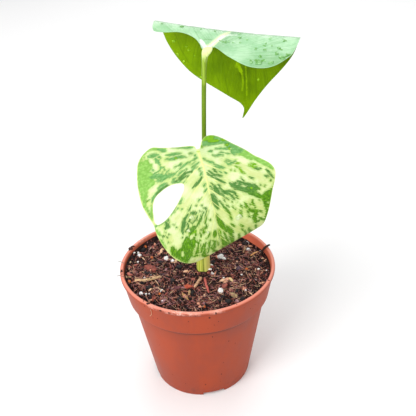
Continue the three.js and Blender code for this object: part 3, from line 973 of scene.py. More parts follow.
@dataclass
class Pot:
    """The nursery pot: a moulded shell with a rolled lip, a collar and a foot ring with gaps.

    A bloom is the turn of its middle from the front, half its width, both in degrees, and its
    strength.
    """

    rim_radius: float = 60.0
    height: float = 102.5
    lip_height: float = 3.0
    lip_width: float = 2.7
    collar_top_radius: float = 59.0
    collar_low_radius: float = 55.3
    collar_low_z: float = 79.0
    body_top_radius: float = 52.7
    base_radius: float = 39.2
    wall: float = 1.3
    floor_thickness: float = 1.5
    floor_rise: float = 1.6
    foot_width: float = 3.2
    pad_radius: float = 13.0
    draft: float = 0.7
    foot_gaps: int = 4
    foot_gap_height: float = 3.0
    foot_gap_deg: float = 26.0
    first_gap_deg: float = 13.0
    drain_holes: int = 8
    drain_radius: float = 3.5
    drain_ring: float = 27.0
    facets: int = 216
    body_rings: Row = (16, 32, 48, 64, 74, 75.6, 76.4, 77)
    collar_rings: Row = (81.2, 84, 90, 96.5, 98.4)
    # Heights and strengths of the painted shade, with some dirt, under the collar.
    crease_rows: tuple[Row, Row] = ((0, 73, 75.6, 76.4, 77, 79.5, 79.6), (0, 0, 0.42, 0.8, 1, 1, 0))
    blooms: tuple[Place, ...] = (
        (-14, 11, 1.0), (-4, 7, 0.7), (13.5, 6, 0.6), (-129, 9, 0.8), (-33, 5, 0.5),
    )
    finish: PotPlastic = field(default_factory=PotPlastic)

    def __post_init__(self) -> None:
        """Works out the height of the lip's underside and of the floor's top."""
        self.lip_z = self.height - self.lip_height
        self.floor_z = self.floor_rise + self.floor_thickness

    def body_radius(self, z: float) -> float:
        """Gives the body's outside radius at a height, in millimetres."""
        return self.base_radius + (self.body_top_radius - self.base_radius) * z / self.collar_low_z

    def collar_radius(self, z: float) -> float:
        """Gives the collar's outside radius at a height, in millimetres."""
        share = (z - self.collar_low_z) / (self.lip_z - self.collar_low_z)
        return self.collar_low_radius + (self.collar_top_radius - self.collar_low_radius) * share

    def outer_radius(self, z: float) -> float:
        """Gives the outside radius at a height, in millimetres.

        Args:
            z: The height in millimetres.

        Returns:
            The radius.
        """
        if z > self.lip_z:
            return self.rim_radius
        return self.collar_radius(z) if z > self.collar_low_z else self.body_radius(z)

    def inner_corners(self) -> list[Place]:
        """Gives the inner wall from the lip down: radius, height and corner radius."""
        return [
            (self.rim_radius - self.lip_width - self.draft / 4, self.lip_z, 2.0),
            (self.collar_low_radius - self.wall, self.collar_low_z + self.wall, 1.5),
            (self.body_top_radius - self.wall, self.collar_low_z - self.wall, 1.5),
            (self.base_radius - self.wall + self.draft, self.floor_z, 2.0),
        ]

    def profile(self) -> list[Flat]:
        """Gives the whole section, from the axis round the outside and back to the axis."""
        return rounded([
            (0.0, 0.0, 0.0),
            (self.pad_radius, 0.0, 0.3),
            (self.pad_radius + self.draft, self.floor_rise, 0.3),
            (self.base_radius - self.foot_width - self.draft, self.floor_rise, 0.3),
            (self.base_radius - self.foot_width, 0.0, 0.4),
            (self.base_radius, 0.0, 0.9),
            *[(self.body_radius(z), z, 0.0) for z in self.body_rings],
            (self.body_top_radius, self.collar_low_z, 0.3),
            (self.collar_low_radius, self.collar_low_z + self.draft / 2, 0.8),
            *[(self.collar_radius(z), z, 0.0) for z in self.collar_rings],
            (self.collar_top_radius, self.lip_z, 0.2),
            (self.rim_radius, self.lip_z + 0.25, 0.8),
            (self.rim_radius, self.height, 1.25),
            (self.rim_radius - self.lip_width, self.height, 1.1),
            *self.inner_corners(),
            (0.0, self.floor_z, 0.0),
        ])

    def cutter(self) -> Object:
        """Makes the blocks and pins that cut the foot gaps and the drain holes.

        Returns:
            One object that holds them all.
        """
        tools = []
        width = 2 * self.base_radius * math.sin(math.radians(self.foot_gap_deg / 2))
        reach = self.foot_width * 3
        for i in range(self.foot_gaps):
            turn = self.first_gap_deg + i * 360 / self.foot_gaps
            spot = around(turn, self.base_radius - self.foot_width + reach / 4) * MM
            bpy.ops.mesh.primitive_cube_add(size=1, location=spot, rotation=(0, 0, math.radians(turn)))
            bpy.context.object.scale = (width * MM, reach * MM, self.foot_gap_height * 2 * MM)
            tools.append(bpy.context.object)
        for i in range(self.drain_holes):
            turn = self.first_gap_deg + i * 360 / self.drain_holes
            spot = around(turn, self.drain_ring, self.floor_rise + self.floor_thickness / 2) * MM
            depth = self.floor_thickness * 4 * MM
            bpy.ops.mesh.primitive_cylinder_add(
                vertices=32, radius=self.drain_radius * MM, depth=depth, location=spot)
            tools.append(bpy.context.object)
        activate(tools[0])
        for tool in tools:
            tool.select_set(True)
        bpy.ops.object.join()
        bpy.ops.object.transform_apply(location=True, rotation=True, scale=True)
        return bpy.context.object

    def paint(self, piece: Object) -> None:
        """Stores the painted highlight on the lip's top, where the lip is chalky, the painted shade with
        some dirt under the collar and the lip, and the inside, which is painted lighter to stand in for
        light.

        Args:
            piece: The pot.
        """
        points = np.array([vertex.co for vertex in piece.data.vertices]) / MM
        z = points[:, 2]
        turn = np.degrees(np.arctan2(points[:, 0], -points[:, 1]))
        radius = np.hypot(points[:, 0], points[:, 1])
        bloom = np.zeros(len(points))
        for middle, half, strength in self.blooms:
            away = np.abs((turn - middle + 180) % 360 - 180)
            bloom = np.maximum(bloom, np.clip(1.2 - away / half, 0, 1) * strength)
        store(piece, "bloom", bloom * np.clip(z - self.lip_z, 0, 1) * np.clip(radius - 55, 0, 1))
        # Painted highlight: a smooth lightening of the lip's top.
        store(piece, "lip_highlight", np.clip((z - self.height + 1.2) / 1.2, 0, 1) * (radius > 56) * 0.8)
        # Painted shade, with some dirt: a dark band under the collar and under the lip's overhang.
        outer = (radius > self.body_radius(z) - 0.5) & (radius < self.collar_low_radius - 0.4)
        under_lip = np.exp(-(((z - self.lip_z) / 0.5) ** 2)) * (radius > self.collar_top_radius - 0.3)
        crease = np.interp(z, *self.crease_rows) * outer + under_lip * 0.8
        store(piece, "crease", np.clip(crease, 0, 1))
        # Marks the inner wall, which the material paints lighter to stand in for light.
        inner = radius < np.interp(z, [0, self.collar_low_z, self.lip_z], [0, 54, 57.5])
        store(piece, "inside", (inner & (z > self.floor_z - 0.1)).astype(float))

    def build(self) -> Object:
        """Models the pot, cuts its gaps and holes, and dresses it.

        Returns:
            The pot.
        """
        piece = spin_profile("pot_shell", self.profile(), self.facets)
        cutter = self.cutter()
        cut = piece.modifiers.new("gaps_and_holes", "BOOLEAN")
        cut.operation = "DIFFERENCE"
        cut.object = cutter
        cut.solver = "EXACT"
        apply_all(piece)
        bpy.data.objects.remove(cutter)
        activate(piece)
        bpy.ops.object.shade_smooth_by_angle(angle=math.radians(50))
        self.paint(piece)
        return hand_over(piece, Slot.POT, self.finish.make(), "pot")


# The potting mix


@dataclass
class PottingMix:
    """The mix: a closed body with an uneven top, and thousands of crumbs and fibres on it.

    A tangle is the place of its middle, its spread and its number of fibres. A scrap is its place,
    length, width, heading and tint, and grit is the same without the tint.
    """

    pot: Pot
    mean_z: float = 95.8
    lean_x: float = -0.022
    lean_y: float = 0.006
    wave: float = 0.5
    gap: float = 0.3
    facets: int = 300
    ring_step: float = 0.75
    crumbs: int = 5200
    lumps: int = 560
    fibres: int = 2000
    fibre_rings: int = 6
    fibre_sides: int = 3
    stem: Place = (4.6, -1.0, 5.7)
    sunk: float = 0.3
    mound: float = 2.8
    bank: float = 4.0
    bank_width: float = 3.6
    bank_turns: tuple[Row, Row] = (
        (-180, -150, -60, -30, 30, 60, 105, 125, 160, 180), (0.6, 1, 1, 0.3, 0.3, 1, 1, 0.3, 0.3, 0.6),
    )
    seed: int = 7
    tangles: tuple[Row, ...] = (
        (-42, -9, 6, 70), (-47, -14, 4, 40), (-20, -31, 8, 70), (-5, -20, 7, 40), (30, -22, 8, 60),
        (40, 20, 8, 60), (-38, 18, 7, 40), (10, -37, 9, 70), (46, 2, 6, 50), (24, 4, 6, 40),
        (-24, -6, 7, 40), (-50, -2, 3, 24), (24, 26, 6, 40),
    )
    scraps: tuple[Row, ...] = (
        (18.5, -34.5, 3.8, 3.2, 20, 0), (22, -40.5, 5.8, 4.6, -10, 0), (32.5, -38.5, 4.6, 4, 40, 0.04),
        (39.5, 33, 5.6, 4.6, 0, 0.05), (32, 14, 4, 3.2, 60, 0), (12, 8.5, 5.4, 4, 30, 0),
        (51, -8, 2.8, 2.4, 0, 0), (1.2, -7.4, 3, 2.2, 10, 0.42), (4.8, -8, 3.2, 2.2, 0, 0.3),
        (8.3, -6.8, 2.6, 2, 0, 0.5), (-1.4, -4.6, 2.6, 2, 60, 0.36), (10.6, -3.6, 2.2, 1.8, 0, 0.1),
        (-51.5, 2, 4, 2.2, 10, 0), (-44, 29, 5, 3.8, 40, 0), (-14.5, 4, 6, 4.2, 10, 0),
        (-29.5, 10, 4.6, 3.4, 0, 0), (-19.5, -13, 5.2, 4, 70, 0), (-37, -21.5, 5, 3.6, 20, 0),
        # The dark scrap at -38.5, -3.5 is a painted shadow: a dark crumb laid where a chip's shade falls.
        (-13.5, -35.5, 4.6, 3.4, 0, 0), (-38.5, -3.5, 5.4, 2.2, -15, 0.1), (-9.5, -2, 4.6, 2.2, 20, 0.95),
        (-3.7, -12.2, 3, 2.6, 0, 0.56), (-24.5, 1.4, 2.8, 2.2, 0, 0.66), (-43.5, 17, 5.4, 1, -55, 1),
        (-53.5, 5.5, 3.4, 0.9, -60, 1), (-31, 22, 3.2, 1.4, 20, 0.84), (-30, 14.5, 4.4, 2, -10, 0.56),
        (-48.5, 7.5, 3.8, 1.8, 30, 0.55), (-43, -8.5, 12, 1.2, -78, 0.44), (-45.6, -4, 5, 1, -40, 0.5),
        (-46, -13.2, 10, 1.9, 4, 0.9), (-37, -8.6, 10, 1.2, 24, 0.92), (-33.5, -10.5, 6, 0.9, 8, 0.88),
        (18.5, -15, 5.6, 2.4, 32, 0.96), (13.5, -5, 3, 1.2, 30, 0.88), (16, -21.5, 3.6, 1.3, 60, 0.58),
        (34.5, -26, 3.8, 2.2, 10, 0.82), (38.5, -31, 5, 1.1, -62, 0.97), (49, -18.5, 6.4, 1.7, 12, 0.92),
        (0.2, -41, 2.8, 2.4, 0, 0.84), (1.4, -45, 2.6, 2.2, 0, 0.86), (35.5, 32, 2.8, 2, 0, 0.82),
        (43.5, 30, 3.6, 1.8, -30, 0.9), (54, 9, 3.8, 1.2, 60, 0.92), (52, 12.6, 2.4, 1.8, 0, 1),
        (31.3, 9, 1.9, 1.5, 0, 0.93), (29.6, 1, 2, 1.2, 0, 1), (39.5, -7, 4, 1.2, -60, 0.82),
        (41, -15, 4.4, 1.6, 10, 0.56), (-12.6, -22.4, 7.4, 1.7, 6, 0.64), (47, 4, 3.6, 1.4, 50, 0.5),
        (27, -8, 4.2, 1.2, -30, 0.55), (-12, -27, 4, 1.6, 40, 0.5),
    )
    grit: tuple[Row, ...] = (
        (10.9, 2, 2.4, 2, 0), (9.6, -4.4, 3, 1.8, 0), (47.4, -1.6, 2.2, 1.8, 0), (-47.5, 12, 1.8, 1.5, 0),
        (-38.8, -28.3, 1.8, 1.5, 0), (33.8, -7, 1.5, 1.2, 0), (53.4, -3.5, 1.4, 1.1, 0),
        (44.5, -14, 1.6, 1.3, 0), (19.8, -11.4, 1.8, 1.2, 0), (21.8, -13.6, 2.2, 1.4, 40),
        (-51, 22, 1.8, 1.3, 30), (-26, -38, 1.6, 1.2, 0), (21, 13.6, 4, 3.2, -10),
        (16.8, 16.4, 3.2, 2.4, 10), (-57.4, -11.8, 1.7, 1.4, 0),
    )

    def surface(self, x: np.ndarray, y: np.ndarray) -> np.ndarray:
        """Gives the mean height of the surface, as the CAD model has it."""
        wave = np.sin(x / 9 + 1) * np.cos(y / 11)
        return self.mean_z + self.lean_x * x + self.lean_y * y + self.wave * wave

    def roughness(self, x: float, y: float) -> float:
        """Gives how far the surface is above or below its mean at a place.

        Args:
            x: The place's X in millimetres.
            y: Its Y.

        Returns:
            The height above the mean in millimetres.
        """
        coarse = noise.noise(Vector((x / 7, y / 7, 3.1)))
        fine = noise.fractal(Vector((x / 2.2, y / 2.2, 9.7)), 0.8, 2.0, 3)
        from_stem = math.hypot(x - self.stem[0], y - self.stem[1]) - self.stem[2]
        mound = self.mound * min(1.0, max(0.0, 1.3 - from_stem / 2.2))
        return 0.9 * coarse + 0.7 * fine + mound - self.sunk

    def banked(self, x: float, y: float) -> float:
        """Gives how far the mix is heaped up against the wall at a place.

        Args:
            x: The place's X in millimetres.
            y: Its Y.

        Returns:
            The height of the heap in millimetres.
        """
        inside_by = self.inner_radius() - math.hypot(x, y)
        climb = min(1.0, max(0.0, 1 - inside_by / self.bank_width)) ** 2
        return self.bank * climb * float(np.interp(math.degrees(math.atan2(x, -y)), *self.bank_turns))

    def inner_radius(self) -> float:
        """Gives the pot's inside radius at the surface of the mix, in millimetres."""
        radii, heights, _ = zip(*self.pot.inner_corners()[::-1])
        return float(np.interp(self.mean_z, heights, radii))

    def level(self, x: np.ndarray, y: np.ndarray) -> np.ndarray:
        """Gives the height of the uneven surface at some places."""
        lift = [self.roughness(a, b) + self.banked(a, b) for a, b in zip(x, y)]
        return self.surface(x, y) + np.array(lift)

    def body(self) -> Object:
        """Models the closed body down the pot's inner wall, with its uneven top.

        Returns:
            The body.
        """
        wall = [(r - self.gap, z + self.gap) for r, z, _ in self.pot.inner_corners()[:0:-1]]
        top_radius = self.inner_radius() - self.gap
        rings = int(top_radius / self.ring_step)
        top = [(top_radius * (1 - i / rings), self.mean_z) for i in range(rings + 1)]
        piece = spin_profile("potting_mix_body", [(0.0, wall[0][1]), *wall, *top], self.facets)
        for vertex in piece.data.vertices:
            x, y, z = vertex.co / MM
            if z > self.mean_z - 0.5:
                calm = min(1.0, (top_radius - math.hypot(x, y)) / 2)
                lift = self.roughness(x, y) * calm + self.banked(x, y)
                vertex.co.z = (self.surface(x, y) + lift - 0.3) * MM
        piece.data.shade_smooth()
        return hand_over(piece, Slot.MIX, PottingMixGround().make(), "potting_mix")

    def scatter(self, rng: np.random.Generator, count: int, margin: float) -> np.ndarray:
        """Picks places on the surface, clear of the stem.

        Args:
            rng: The random numbers.
            count: How many places are wanted.
            margin: Clearance to the pot's wall.

        Returns:
            X, Y and Z of each place in millimetres.
        """
        radius = (self.inner_radius() - margin) * np.sqrt(rng.random(count * 2))
        turn = rng.random(count * 2) * math.tau
        x, y = radius * np.cos(turn), radius * np.sin(turn)
        clear = np.hypot(x - self.stem[0], y - self.stem[1]) > self.stem[2] + 0.6
        x, y = x[clear][:count], y[clear][:count]
        return np.column_stack([x, y, self.level(x, y)])

    @staticmethod
    def crumble(name: str, places: np.ndarray, sizes: np.ndarray, spins: np.ndarray,
                tint: np.ndarray, levels: int, rng: np.random.Generator) -> Object:
        """Makes one uneven crumb at each place.

        Args:
            name: The piece's name.
            places: The crumbs' middles in millimetres.
            sizes: Their three sizes in millimetres.
            spins: A rotation each.
            tint: A tint each.
            levels: Subdivisions of each crumb.
            rng: The random numbers.

        Returns:
            One object that holds them all.
        """
        base, faces = taken_apart(new_ball(levels))
        uneven = 1 + 0.38 * (rng.random((len(places), len(base), 1)) - 0.5)
        shapes = np.einsum("nij,nvj->nvi", spins, base[None] * uneven * sizes[:, None, :])
        piece = copies(name, shapes + places[:, None, :], faces)
        piece.data.shade_flat()
        store(piece, "tint", np.repeat(tint, len(base)))
        return piece

    def laid(self, name: str, rows: tuple[Row, ...], seed: int) -> Object:
        """Lays single crumbs at chosen places.

        Args:
            name: The piece's name.
            rows: X, Y, length, width, heading and, for crumbs of the mix, tint.
            seed: The seed of their unevenness.

        Returns:
            One object that holds them all.
        """
        rng = np.random.default_rng(seed)
        x, y, length, width, heading, *tints = np.array(rows, float).T
        angle = np.radians(heading + rng.normal(0, 5, len(rows)))
        spins = np.zeros((len(rows), 3, 3))
        spins[:, 0, 0] = spins[:, 1, 1] = np.cos(angle)
        spins[:, 1, 0] = np.sin(angle)
        spins[:, 0, 1] = -np.sin(angle)
        spins[:, 2, 2] = 1
        height = width * 0.75
        places = np.column_stack([x, y, self.level(x, y) + (height * 0.25 + 0.35)])
        tint = tints[0] if tints else np.full(len(rows), 0.5)
        return self.crumble(name, places, np.column_stack([length, width, height]), spins, tint, 2, rng)

    def grains(self, name: str, count: int, sizes: Flat, levels: int, tints: Flat,
               seed: int) -> Object:
        """Scatters one size of crumb.

        Args:
            name: The piece's name.
            count: How many crumbs.
            sizes: Smallest and largest size in millimetres.
            levels: Subdivisions of each crumb.
            tints: The middle and the spread of their tints.
            seed: The seed of this size's random numbers.

        Returns:
            One object that holds them all.
        """
        rng = np.random.default_rng(seed)
        places = self.scatter(rng, count, sizes[1] * 0.3)
        count = len(places)
        size = sizes[0] + (sizes[1] - sizes[0]) * rng.random(count) ** 2.5
        shapes = size[:, None] * np.array([1.25, 0.55, 0.4]) * (0.6 + 0.8 * rng.random((count, 3)))
        places[:, 2] += size * (0.3 * rng.random(count) - 0.05)
        tint = np.clip(rng.normal(tints[0], tints[1], count) + self.mottle(places), 0, 1)
        spins, _ = np.linalg.qr(rng.normal(size=(count, 3, 3)))
        return self.crumble(name, places, shapes, spins, tint, levels, rng)

    @staticmethod
    def mottle(places: np.ndarray) -> np.ndarray:
        """Gives how much paler the mix is at some places than on the whole."""
        layers = ((5.5, 21, 1), (2.4, 5, 0.6))
        return 0.42 * np.array([sum(strength * noise.noise(Vector((x / size, y / size, layer)))
                                    for size, layer, strength in layers) for x, y in places[:, :2]])

    def fibre_lines(self, rng: np.random.Generator) -> tuple[np.ndarray, ...]:
        """Draws the middle line of each coir fibre.

        Args:
            rng: The random numbers.

        Returns:
            The X, Y, Z and heading of each fibre's rings, and each fibre's thickness.
        """
        places = self.scatter(rng, self.fibres, 4.5)
        heading = rng.random(len(places)) * math.tau
        for x, y, spread, number in self.tangles:
            spots = np.array([x, y]) + rng.normal(0, spread / 2, (number, 2))
            places = np.vstack([places, np.column_stack([spots, self.level(*spots.T)])])
            heading = np.append(heading, rng.random() * math.tau + rng.normal(0, 0.9, number))
        count, rings = len(places), self.fibre_rings
        length = 2.2 + 8.5 * rng.random(count) ** 2
        thick = 0.1 + 0.19 * rng.random(count) ** 2
        bend = rng.normal(0, 1.3, count)
        share = np.linspace(-0.5, 0.5, rings)
        angle = heading[:, None] + bend[:, None] * share
        x = places[:, :1] + np.cumsum(np.cos(angle), 1) * (length / rings)[:, None]
        y = places[:, 1:2] + np.cumsum(np.sin(angle), 1) * (length / rings)[:, None]
        tilt = rng.normal(0, 0.14, count) * length
        arch = (0.25 - share ** 2)[None] * (length * 0.3 * rng.random(count))[:, None]
        lift = places[:, 2:] - self.surface(places[:, :1], places[:, 1:2])
        z = self.surface(x, y) + lift + 0.4 + 0.7 * rng.random((count, 1)) + tilt[:, None] * share + arch
        keep = (np.hypot(x, y) < self.inner_radius() - 0.8).all(1)
        keep &= (np.hypot(x - self.stem[0], y - self.stem[1]) > self.stem[2]).all(1)
        return x[keep], y[keep], z[keep], angle[keep], thick[keep]

    def threads(self, name: str, seed: int) -> Object:
        """Scatters coir fibres, each a thin bent tube.

        Args:
            name: The piece's name.
            seed: The seed of their random numbers.

        Returns:
            One object that holds them all.
        """
        rng = np.random.default_rng(seed)
        x, y, z, angle, thick = self.fibre_lines(rng)
        rings, sides = self.fibre_rings, self.fibre_sides
        centre = np.stack([x, y, z], -1)[:, :, None, :]
        side = np.stack([-np.sin(angle), np.cos(angle), np.zeros_like(angle)], -1)[:, :, None, :]
        phase = (np.arange(sides) * math.tau / sides)[None, None, :, None]
        share = np.linspace(-0.5, 0.5, rings)
        taper = (1 - 0.75 * (2 * np.abs(share)) ** 3)[None, :, None, None]
        out = np.cos(phase) * side + np.sin(phase) * np.array([0.0, 0.0, 1.0])
        points = centre + thick[:, None, None, None] * taper * out
        corner = np.arange((rings - 1) * sides)
        after = corner - corner % sides + (corner + 1) % sides
        walls = np.stack([corner, after, after + sides, corner + sides], -1).tolist()
        ends = [[2, 1, 0], [rings * sides - 3, rings * sides - 2, rings * sides - 1]]
        piece = copies(name, points.reshape(len(x), rings * sides, 3), walls + ends)
        tint = np.clip(rng.normal(0.6, 0.25, len(x)), 0.05, 1)
        store(piece, "tint", np.repeat(tint, rings * sides))
        return piece

    def build(self) -> None:
        """Models the body and scatters everything on it."""
        self.body()
        skin = Crumb().make()
        for piece in (
            self.grains("fine_crumbs", self.crumbs, (0.7, 2.3), 1, (0.35, 0.32), self.seed),
            self.grains("coarse_crumbs", self.lumps, (1.6, 4.6), 2, (0.27, 0.33), self.seed + 1),
            self.laid("laid_crumbs", self.scraps, self.seed + 4),
            self.threads("fibres", self.seed + 2),
        ):
            hand_over(piece, Slot.MIX, skin)
        white = Bits("fine_perlite", (255, 254, 252), (238, 236, 232), 1500, 0.0003, 0.9).make()
        for piece in (
            self.grains("fine_perlite", 30, (0.5, 1.4), 2, (0.5, 0.1), self.seed + 3),
            self.laid("laid_perlite", self.grit, self.seed + 5),
        ):
            hand_over(piece, Slot.PERLITE, white)


# The stalks and the sheath


@dataclass
class Stalk:
    """A leaf stalk, from the stem's top to the knee under its blade.

    A station is a place and a radius, and a second radius from front to back where that differs.
    """

    name: str
    node: str
    stations: list[Row]
    skin: StalkSkin
    sides: int = 28
    per_span: int = 7

    def build(self) -> Object:
        """Extrudes a ring along the stations and closes both ends.

        Returns:
            The stalk.
        """
        rows = [row if len(row) > 4 else (*row, row[3]) for row in self.stations]
        line = smooth_line(rows, self.per_span)
        x, y, z, radius, _ = line[0] * MM
        bpy.ops.object.select_all(action="DESELECT")
        bpy.ops.mesh.primitive_circle_add(
            vertices=self.sides, radius=radius, fill_type="NGON", location=(x, y, z))
        piece = bpy.context.object
        piece.name = self.name
        bpy.ops.object.transform_apply(location=True, rotation=True, scale=True)
        bpy.ops.object.mode_set(mode="EDIT")
        bpy.ops.mesh.select_all(action="SELECT")
        for before, after in zip(line, line[1:]):
            move = tuple((after[:3] - before[:3]) * MM)
            bpy.ops.mesh.extrude_region_move(TRANSFORM_OT_translate={"value": move})
            wider, deeper = after[3:] / before[3:]
            bpy.ops.transform.resize(value=(wider, deeper, 1), center_override=tuple(after[:3] * MM))
        bpy.ops.mesh.select_all(action="SELECT")
        bpy.ops.mesh.normals_make_consistent(inside=False)
        bpy.ops.object.mode_set(mode="OBJECT")
        bpy.ops.object.shade_smooth_by_angle(angle=math.radians(60))
        skin = self.skin.make(self.name + "_skin", self.stations[0][2])
        return hand_over(piece, Slot.STALK, skin, self.node)


@dataclass
class Sheath:
    """The pale wing at the foot of the older stalk, wrapped round both stalks."""

    centre: Flat = (4.6, -1.0)
    radius: float = 5.3
    wall: float = 0.9
    low_z: float = 93.5
    top_z: float = 118.0
    slit_deg: float = 0.8
    taper: float = 0.03
    slant: float = 0.9
    ribs: int = 26
    rib_height: float = 0.09
    facets: int = 72
    rows: int = 40

    def build(self) -> Object:
        """Models the wrap as a ribbed tube with a slit at the front, thinning towards the slit.

        Returns:
            The sheath.
        """
        half = math.radians(self.slit_deg / 2)
        spread = np.linspace(half, math.tau - half, self.facets) - math.pi / 2
        turn, rise = np.meshgrid(spread, np.linspace(0, 1, self.rows))
        from_slit = np.minimum(turn + math.pi / 2, math.tau - turn - math.pi / 2)
        rib = self.rib_height * np.cos(turn * self.ribs) * np.clip(from_slit * 2, 0, 1)
        wall = self.wall * (0.35 + 0.65 * np.clip(from_slit / 0.5, 0, 1))
        shells = []
        for depth in (0, 1):
            radius = (self.radius - 0.05 + rib - depth * (wall - 0.1)) * (1 - self.taper * rise)
            x, y = radius * np.cos(turn), radius * np.sin(turn)
            z = self.low_z + (self.top_z - self.low_z) * rise + np.maximum(0, rise - 0.5) * y * self.slant
            shells.append(np.stack([x + self.centre[0], y + self.centre[1], z], -1).reshape(-1, 3))
        grid = np.arange(self.rows * self.facets).reshape(self.rows, self.facets)
        outer = np.stack([grid[:-1, :-1], grid[:-1, 1:], grid[1:, 1:], grid[1:, :-1]], -1).reshape(-1, 4)
        inner = outer[:, ::-1] + grid.size
        rim = np.concatenate([grid[0], grid[1:, -1], grid[-1, -2::-1], grid[-2:0:-1, 0]])
        after = np.roll(rim, -1)
        edge = np.stack([after, rim, rim + grid.size, after + grid.size], -1)
        piece = from_arrays("sheath_wrap", np.vstack(shells), np.vstack([outer, inner, edge]).tolist())
        activate(piece)
        bpy.ops.object.shade_smooth_by_angle(angle=math.radians(50))
        return hand_over(piece, Slot.SHEATH, SheathSkin().make(), "sheath")


# The blades


@dataclass
class VeinFan:
    """How the veins of one half of a blade run. Each row is distance along the midrib, the vein's
    direction in degrees from straight across towards the tip, and its curl per millimetre. Below
    zero the distance only counts round the fan of veins that starts at the stalk."""

    rows: list[Place]
    samples: int = 220

    def read(self, points: np.ndarray, midrib: np.ndarray, side: float) -> np.ndarray:
        """Finds each point's vein and how far along it the point is.

        Args:
            points: Flat points on this half, one row each.
            midrib: The midrib's points.
            side: 1 where across grows away from the midrib, and -1 on the other half.

        Returns:
            Two numbers for each point, both in millimetres.
        """
        known, degrees, curls = np.array(self.rows).T
        starts = np.linspace(known[0], known[-1], self.samples)
        angle = np.radians(np.interp(starts, known, degrees))
        curl = np.interp(starts, known, curls)
        lengths = np.linalg.norm(np.diff(midrib, axis=0), axis=1)
        reach = np.concatenate([[0.0], np.cumsum(lengths)])
        foot = np.stack([np.interp(starts, reach, midrib[:, k]) for k in (0, 1)], -1)
        away = points[:, None, :] - foot[None]
        heading = np.stack([side * np.cos(angle), np.sin(angle)], -1)
        normal = np.stack([-side * np.sin(angle), np.cos(angle)], -1)
        along = (away * heading[None]).sum(-1)
        across = (away * normal[None]).sum(-1) - curl[None] * along ** 2
        cost = np.abs(across) / (np.abs(along) + 0.4) + (along < -0.5) * 2
        best = np.clip(np.argmin(cost, 1), 1, self.samples - 2)
        row = np.arange(len(points))
        slope = (across[row, best + 1] - across[row, best - 1]) / 2
        shift = np.where(np.abs(slope) > 1e-6, -across[row, best] / np.where(slope == 0, 1, slope), 0)
        vein = starts[best] + np.clip(shift, -1, 1) * (starts[1] - starts[0])
        return np.stack([vein, along[row, best]], -1)


